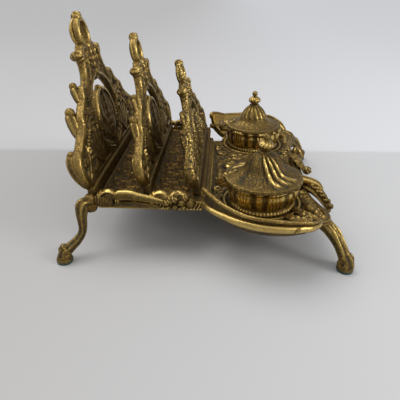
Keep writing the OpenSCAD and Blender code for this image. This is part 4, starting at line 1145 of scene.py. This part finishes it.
def leg(name):
    """Cabriole leg: a softly ribbed bar that follows the leg's curve from the corner to the sole, a volute on
    each flank of the foot, a knee shell in front or a ball over the toe behind, and a round sole."""
    side, front = side_of(name), "front" in name
    spot = stand.foot * (side, -1 if front else 1)
    stud = (stand.front_stud if front else stand.back_stud) * (side, 1)
    top = stand.tray_top - 2.5 if front else stand.floor_top - 3
    # share of the way from the foot to the stud, height, radius
    if front:
        upper = [(1.02, -3.4, 4.4), (0.84, -1.6, 5.2), (0.68, -0.4, 5.6), (0.526, -2.3, 5.1),
                 (0.368, -6.6, 4.5), (0.226, -11.6, 4.1)]
        lower = [(0.113, 13.4, 4.2), (0.02, 9, 5), (-0.02, 5.4, 5.5)]
    else:
        upper = [(0.98, 1, 3.8), (0.86, 3.4, 4.4), (0.75, 2.2, 5), (0.705, -3.5, 4.4), (0.685, -9, 3.6),
                 (0.675, -15, 3.2), (0.61, -20.6, 3.1)]
        lower = [(0.44, 13.8, 3.5), (0.22, 10.4, 4), (0.05, 7.4, 4.5), (0, 4.8, 4.9)]
    rows = [(share, top + z, r) for share, z, r in upper] + lower + [(0, 2.6, 4.9)]
    way = stud - spot
    reach = np.linalg.norm(way)
    ahead = way / reach
    across = np.array([-ahead[1], ahead[0], 0])

    def at(share, z, aside=0):
        return np.array([*(spot + way * share), z]) + across * aside

    w = Work()
    w.tube([at(s, z) for s, z, _ in rows], [r for _, _, r in rows], 48, 7, up=across, ribs=6, round_ends=False,
           deep=0.05, value=0.15)
    # collar and stud at the top, and the sole
    for profile, centre, sides, steps in (
            ([(AXIS, -4), (3.4, -4), (4.4, -3), (4.8, -0.9), (4.6, -0.05), (AXIS, -0.05)], (*stud, top), 48, 3),
            ([(AXIS, -1), (1.95, -1), (1.95, 6), (1.6, 6.4), (AXIS, 6.45)], (*stud, top), 24, 1),
            ([(AXIS, 2), (5.6, 2), (6, 2.4), (5.9, 3.2), (5.4, 3.9), (5.3, 4.8), (4.4, 5.6), (AXIS, 5.7)],
             (*spot, 0), 64, 4)):
        w.turned(profile, centre, sides, steps=steps)
    big, high = (4.2, 7.6) if front else (3, 8)
    for aside in (-1, 1):
        curl = volute(0, 0, big, 110, -1.35, 0.8, 14)
        w.tube([at((1.2 - c[0]) / reach, high + c[1], aside * (4.5 if front else 3.7)) for c in curl],
               [1.3, 1.4, 1.1, 0.8], 12, 4, up=across, value=0.55)
        w.ball(at(1.2 / reach, high, aside * (4.2 if front else 3.5)), 0.34 * big, sides=12)
    if front:
        w.leaf3d([at(0.92, top - 0.6), at(0.64, top + 4.4), at(0.40, top - 1), at(0.26, top - 7.4)], 5, 1,
                 (*-ahead, 0.6), 7, cup=-0.25, steps=7)
        # rubbed edges down the shin
        for aside in (-1, 1):
            w.tube([at(share, z, flank * aside) for share, z, flank in (
                (0.55, top + 2.2, 2.2), (0.34, top - 2.4, 2.6), (0.20, top - 8.6, 2.8), (0.07, top - 15, 2.8),
                (-0.03, 9, 3.4))], [0.9, 1.2, 1.2, 1.1, 0.8], 10, 6, value=0.8)
    else:
        w.ball(at(0.03, 12), 3.2, 0.95, 5, 0.8, 16)
        w.leaf3d([at(0.80, top + 5.6), at(0.62, top + 1.6), at(0.60, top - 5.5), at(0.61, top - 12)], 3.6, 1,
                 (*-ahead, 0.3), 6, cup=-0.3)
        w.leaf3d([at(0.30, 7.2), at(0.38, 10.4), at(0.50, 14), at(0.57, 17.6)], 3, 0.9, (*ahead, -0.6), 5,
                 cup=-0.2)
    return w.finish(name, paint("brass"))


# ---------------------------------------------------------------- add-on

def length(name, description, value, least=0.0):
    """Length in metres."""
    return bpy.props.FloatProperty(name=name, description=description, default=value, min=least, unit="LENGTH",
                                   precision=4)


def spot(name, description, value):
    """Place in plan, in metres."""
    return bpy.props.FloatVectorProperty(name=name, description=description, size=2, default=value,
                                         subtype="XYZ", unit="LENGTH", precision=4)


def colour(name, description, value):
    """Linear colour."""
    return bpy.props.FloatVectorProperty(name=name, description=description, size=3, default=value, min=0,
                                         max=1, subtype="COLOR")


def lean(name, value):
    """Angle from the vertical, given in degrees."""
    return bpy.props.FloatProperty(name=name, description="Angle that this panel leans back",
                                   default=math.radians(value), subtype="ANGLE")


class StandSizes(bpy.types.PropertyGroup):
    """Sizes of the rack, tray, wells and lids that their boxes don't give."""
    bar: length("Foot bar", "Thickness of a panel's foot bar", 0.006)
    bar_up: length("Foot bar height", "Height of a panel's foot bar", 0.009)
    floor_width: length("Rack floor width", "Width of the plate between the rails", 0.165)
    floor_back: length("Rack floor end", "Place of the plate's back edge", 0.0884)
    back_stud: spot("Back stud", "Right back leg's stud", (0.087, 0.0839))
    front_stud: spot("Front stud", "Right front leg's stud", (0.079, -0.0786))
    tray_end: spot("Tray end", "Middle of the right raised end", (0.070, -0.050))
    tray_top: length("Tray top", "Height of the tray's top face", 0.033)
    tray_front: length("Tray front", "Place of the tray's front edge", -0.084, -1.0)
    well_rim: length("Well rim", "Height of a well's rim", 0.0528)
    lid_radius: length("Lid radius", "Radius of a lid's brim", 0.0298)
    bell: length("Bell height", "Height of a lid's bell over its brim", 0.0196)
    ball: length("Finial ball", "Radius of a finial's ball", 0.0059)
    bead: length("Finial bead", "Radius of a finial's bead", 0.0027)


class PanelSizes(bpy.types.PropertyGroup):
    """Lean and relief of the letter rack's panels."""
    back_lean: lean("Back lean", 10.1)
    middle_lean: lean("Middle lean", 9.4)
    front_lean: lean("Front lean", 12.7)
    relief: bpy.props.FloatProperty(name="Relief", description="Ornament's height against its drawn height",
                                    default=0.68, min=0.3, max=1.4, subtype="FACTOR")
    step: length("Mesh step", "Side of a mesh cell of the castings", 0.00062, 0.0003)


class Finishes(bpy.types.PropertyGroup):
    """Colours of the metal, felt, glass and floor."""
    polished: colour("Polished brass", "Rubbed ridges", (0.86, 0.615, 0.20))
    tone: colour("Brass tone", "Brass between ridge and hollow", (0.245, 0.157, 0.045))
    # the hollow colour stands for old wax and dirt, and for painted shade in the recesses
    hollow: colour("Hollows", "Old wax, dirt and painted shade in the hollows", (0.034, 0.023, 0.011))
    felt: colour("Felt", "Pads under the feet", (0.008, 0.040, 0.016))
    table: colour("Floor", "Pale floor near the stand", (0.53, 0.53, 0.535))
    far: colour("Floor behind", "Floor beyond the stand", (0.645, 0.65, 0.67))
    left: colour("Warm side", "Tint of the floor's left side", (1.0, 0.975, 0.95))


PAINTS = {}


def paint(kind):
    """Each finish is made once and shared."""
    c = bpy.context.scene.inkstand_finishes
    polished, tone, hollow = tuple(c.polished), tuple(c.tone), tuple(c.hollow)
    makers = {
        "brass": lambda: aged_brass("Cast brass", polished, tone, hollow),
        # Rack brass is a lighter copy of the brass, with a lighter tone and lighter hollows: painted light on
        # the back and middle panels, which stand in each other's shade
        "leaves": lambda: aged_brass("Rack brass", times(polished, 0.70), times(tone, 1.35),
                                     times(hollow, 1.6)),
        "pearled": lambda: aged_brass("Pearled brass", times(polished, 0.82), times(tone, 0.95), hollow,
                                      pearl=0.55),
        "dark": lambda: aged_brass("Dark cast brass", times(polished, 0.68), times(tone, (0.95, 0.85, 0.7)),
                                   hollow, -0.03),
        "pins": lambda: aged_brass("Pin brass", times(polished, 0.75), tone, hollow, 0.05, cast=False),
        "felt": lambda: felt_cloth("Green felt", tuple(c.felt)),
        "glass": lambda: ink_glass("Ink glass"),
    }
    if kind not in PAINTS:
        PAINTS[kind] = makers[kind]()
    return PAINTS[kind]


def make_pieces(context, pieces):
    """Reads the sizes, then makes each piece."""
    read_sizes(context.scene.inkstand_sizes, context.scene.inkstand_panels)
    for maker, name, slot in pieces:
        maker(name)
    return {"FINISHED"}


class INKSTAND_OT_panels(bpy.types.Operator):
    """Makes the three leaves of the letter rack"""
    bl_idname = "inkstand.panels"
    bl_label = "Rack panels"
    bl_options = {"REGISTER", "UNDO"}

    def execute(self, context):
        return make_pieces(context, [(rack_panel, name, "brass") for name in PANELS])


class INKSTAND_OT_floor(bpy.types.Operator):
    """Makes the rack's floor plate and its end rails"""
    bl_idname = "inkstand.floor"
    bl_label = "Rack floor and rails"
    bl_options = {"REGISTER", "UNDO"}

    def execute(self, context):
        return make_pieces(context, [(rack_floor, "rack_floor", "dark_brass"),
                                     *((rack_rail, "rack_rail_" + word, "brass") for _, word in SIDES)])


class INKSTAND_OT_tray(bpy.types.Operator):
    """Makes the ink tray and the spray on its front"""
    bl_idname = "inkstand.tray"
    bl_label = "Ink tray and spray"
    bl_options = {"REGISTER", "UNDO"}

    def execute(self, context):
        return make_pieces(context, [(ink_tray, "ink_tray", "brass"), (front_spray, "front_spray", "brass")])


class INKSTAND_OT_wells(bpy.types.Operator):
    """Makes both wells with their lids and finials"""
    bl_idname = "inkstand.wells"
    bl_label = "Wells, lids and finials"
    bl_options = {"REGISTER", "UNDO"}

    def execute(self, context):
        return make_pieces(context, [(maker, f"{maker.__name__}_{word}", "brass")
                                     for _, word in SIDES for maker in (well, lid, finial)])


class INKSTAND_OT_legs(bpy.types.Operator):
    """Makes the four legs"""
    bl_idname = "inkstand.legs"
    bl_label = "Legs"
    bl_options = {"REGISTER", "UNDO"}

    def execute(self, context):
        return make_pieces(context, [(leg, f"leg_{end}_{word}", "brass")
                                     for end in ("back", "front") for _, word in SIDES])


class INKSTAND_OT_small_parts(bpy.types.Operator):
    """Gives the screws, rivets, nuts, pins, glasses and felt pads their finishes"""
    bl_idname = "inkstand.small_parts"
    bl_label = "Small parts"
    bl_options = {"REGISTER", "UNDO"}

    def execute(self, context):
        kept = {"pins": ["panel_screws", "spray_rivets", "well_screws", "leg_nuts", "hinge_pin_left",
                         "hinge_pin_right"],
                "glass": ["liner_left", "liner_right"],
                "felt": [n for n in frame["nodes"] if n.startswith("felt_pad")]}
        for kind, names in kept.items():
            for name in names:
                for slot in frame["nodes"][name].material_slots:
                    slot.material = paint(kind)
        return {"FINISHED"}


def add_object(name, data, place=(0, 0, 0)):
    """Object of the scene at a place."""
    made = bpy.data.objects.new(name, data)
    bpy.context.scene.collection.objects.link(made)
    made.location = place
    return made


def floor_paint(near, far, left):
    """Matt floor: a near and a far colour meet at a soft line behind the stand, each warmer to the left and
    darker there with painted shade."""
    p = Paint("Floor")
    at = p.place()
    x = p.add("ShaderNodeSeparateXYZ", inputs={0: at}, out="X")
    y = p.add("ShaderNodeSeparateXYZ", inputs={0: at}, out="Y")
    beyond = (x + y * 0.03 + p.noise(at, 60, 2) * 3).step(120, 133)
    # k makes each colour darker to the left: painted shade across the floor
    shades = [p.blend(y.step(-reach, reach), colour, tuple(a * k * b for a, b in zip(colour, left)))
              for reach, colour, k in ((210, near, 0.84), (420, far, 0.80))]
    return p.finish(Base_Color=p.blend(beyond, *shades), Roughness=0.85)


# name, kind, place in metres, power, and spread in degrees or size in metres
LAMPS = (("Key", "SUN", (0.35, 0.45, 1.5), 1.5, 50), ("Fill", "SUN", (-0.6, -0.3, 1.0), 0.40, 60),
         ("Side", "AREA", (-0.4, -0.9, 0.6), 4.0, 0.4), ("Window", "AREA", (-0.15, 1.1, 0.8), 3.0, 0.6))
SKY, SKY_POWER = (0.97, 0.985, 1, 1), 0.40
CAMERA = (-0.3408, -0.0116, 0.1852)
YAW, PITCH, ROLL = (math.radians(v) for v in (3.22, 28.73, -0.18))


class INKSTAND_OT_stage(bpy.types.Operator):
    """Lays the floor, sets the lamps and the world, and places the camera"""
    bl_idname = "inkstand.stage"
    bl_label = "Stage"

    def execute(self, context):
        scene = context.scene
        scene.view_settings.view_transform = "Standard"
        c = scene.inkstand_finishes
        mesh = bpy.data.meshes.new("Floor")
        ring = turn(96)
        disc = np.stack([STAGE_RADIUS * np.cos(ring), STAGE_RADIUS * np.sin(ring), 0 * ring], 1)
        mesh.from_pydata(disc.tolist(), [], [list(range(len(disc)))])
        floor = add_object("Floor", mesh)
        mesh.materials.append(floor_paint(tuple(c.table), tuple(c.far), tuple(c.left)))
        world = scene.world = bpy.data.worlds.new("Studio")
        world.use_nodes = True
        sky = world.node_tree.nodes["Background"]
        sky.inputs["Color"].default_value, sky.inputs["Strength"].default_value = SKY, SKY_POWER
        for name, kind, place, power, wide in LAMPS:
            lamp = bpy.data.lights.new(name, kind)
            lamp.energy = power
            setattr(lamp, *(("angle", math.radians(wide)) if kind == "SUN" else ("size", wide)))
            aim = Vector((0, 0, 0.05)) - Vector(place)
            add_object(name, lamp, place).rotation_euler = aim.to_track_quat("-Z", "Y").to_euler()
        lens = bpy.data.cameras.new("Camera")
        lens.sensor_width, lens.lens, lens.sensor_fit = 36, 36, "HORIZONTAL"
        lens.clip_start, lens.clip_end = 0.01, 100
        scene.camera = add_object("Camera", lens, CAMERA)
        ahead = Vector((math.cos(YAW) * math.cos(PITCH), math.sin(YAW) * math.cos(PITCH), -math.sin(PITCH)))
        twist = Quaternion((0, 0, 1), ROLL)
        scene.camera.rotation_euler = (ahead.to_track_quat("-Z", "Y") @ twist).to_euler()
        return {"FINISHED"}


class INKSTAND_PT_panel(bpy.types.Panel):
    """Sidebar list of the stand's pieces"""
    bl_label = "Inkstand"
    bl_idname = "INKSTAND_PT_panel"
    bl_space_type = "VIEW_3D"
    bl_region_type = "UI"
    bl_category = "Inkstand"

    def draw(self, context):
        for step in STEPS:
            self.layout.operator(step.bl_idname)
        for group in (context.scene.inkstand_sizes, context.scene.inkstand_panels,
                      context.scene.inkstand_finishes):
            rows = self.layout.box()
            for key in group.__annotations__:
                rows.prop(group, key)


STEPS = (INKSTAND_OT_stage, INKSTAND_OT_panels, INKSTAND_OT_floor, INKSTAND_OT_tray, INKSTAND_OT_wells,
         INKSTAND_OT_legs, INKSTAND_OT_small_parts)
CLASSES = (StandSizes, PanelSizes, Finishes, *STEPS, INKSTAND_PT_panel)


def register():
    for c in CLASSES:
        bpy.utils.register_class(c)
    bpy.types.Scene.inkstand_sizes = bpy.props.PointerProperty(type=StandSizes)
    bpy.types.Scene.inkstand_panels = bpy.props.PointerProperty(type=PanelSizes)
    bpy.types.Scene.inkstand_finishes = bpy.props.PointerProperty(type=Finishes)


def unregister():
    del bpy.types.Scene.inkstand_sizes, bpy.types.Scene.inkstand_panels, bpy.types.Scene.inkstand_finishes
    for c in reversed(CLASSES):
        bpy.utils.unregister_class(c)


def main():
    register()
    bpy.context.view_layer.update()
    for step in STEPS:
        group, name = step.bl_idname.split(".")
        getattr(getattr(bpy.ops, group), name)()


if __name__ == "__main__":
    main()
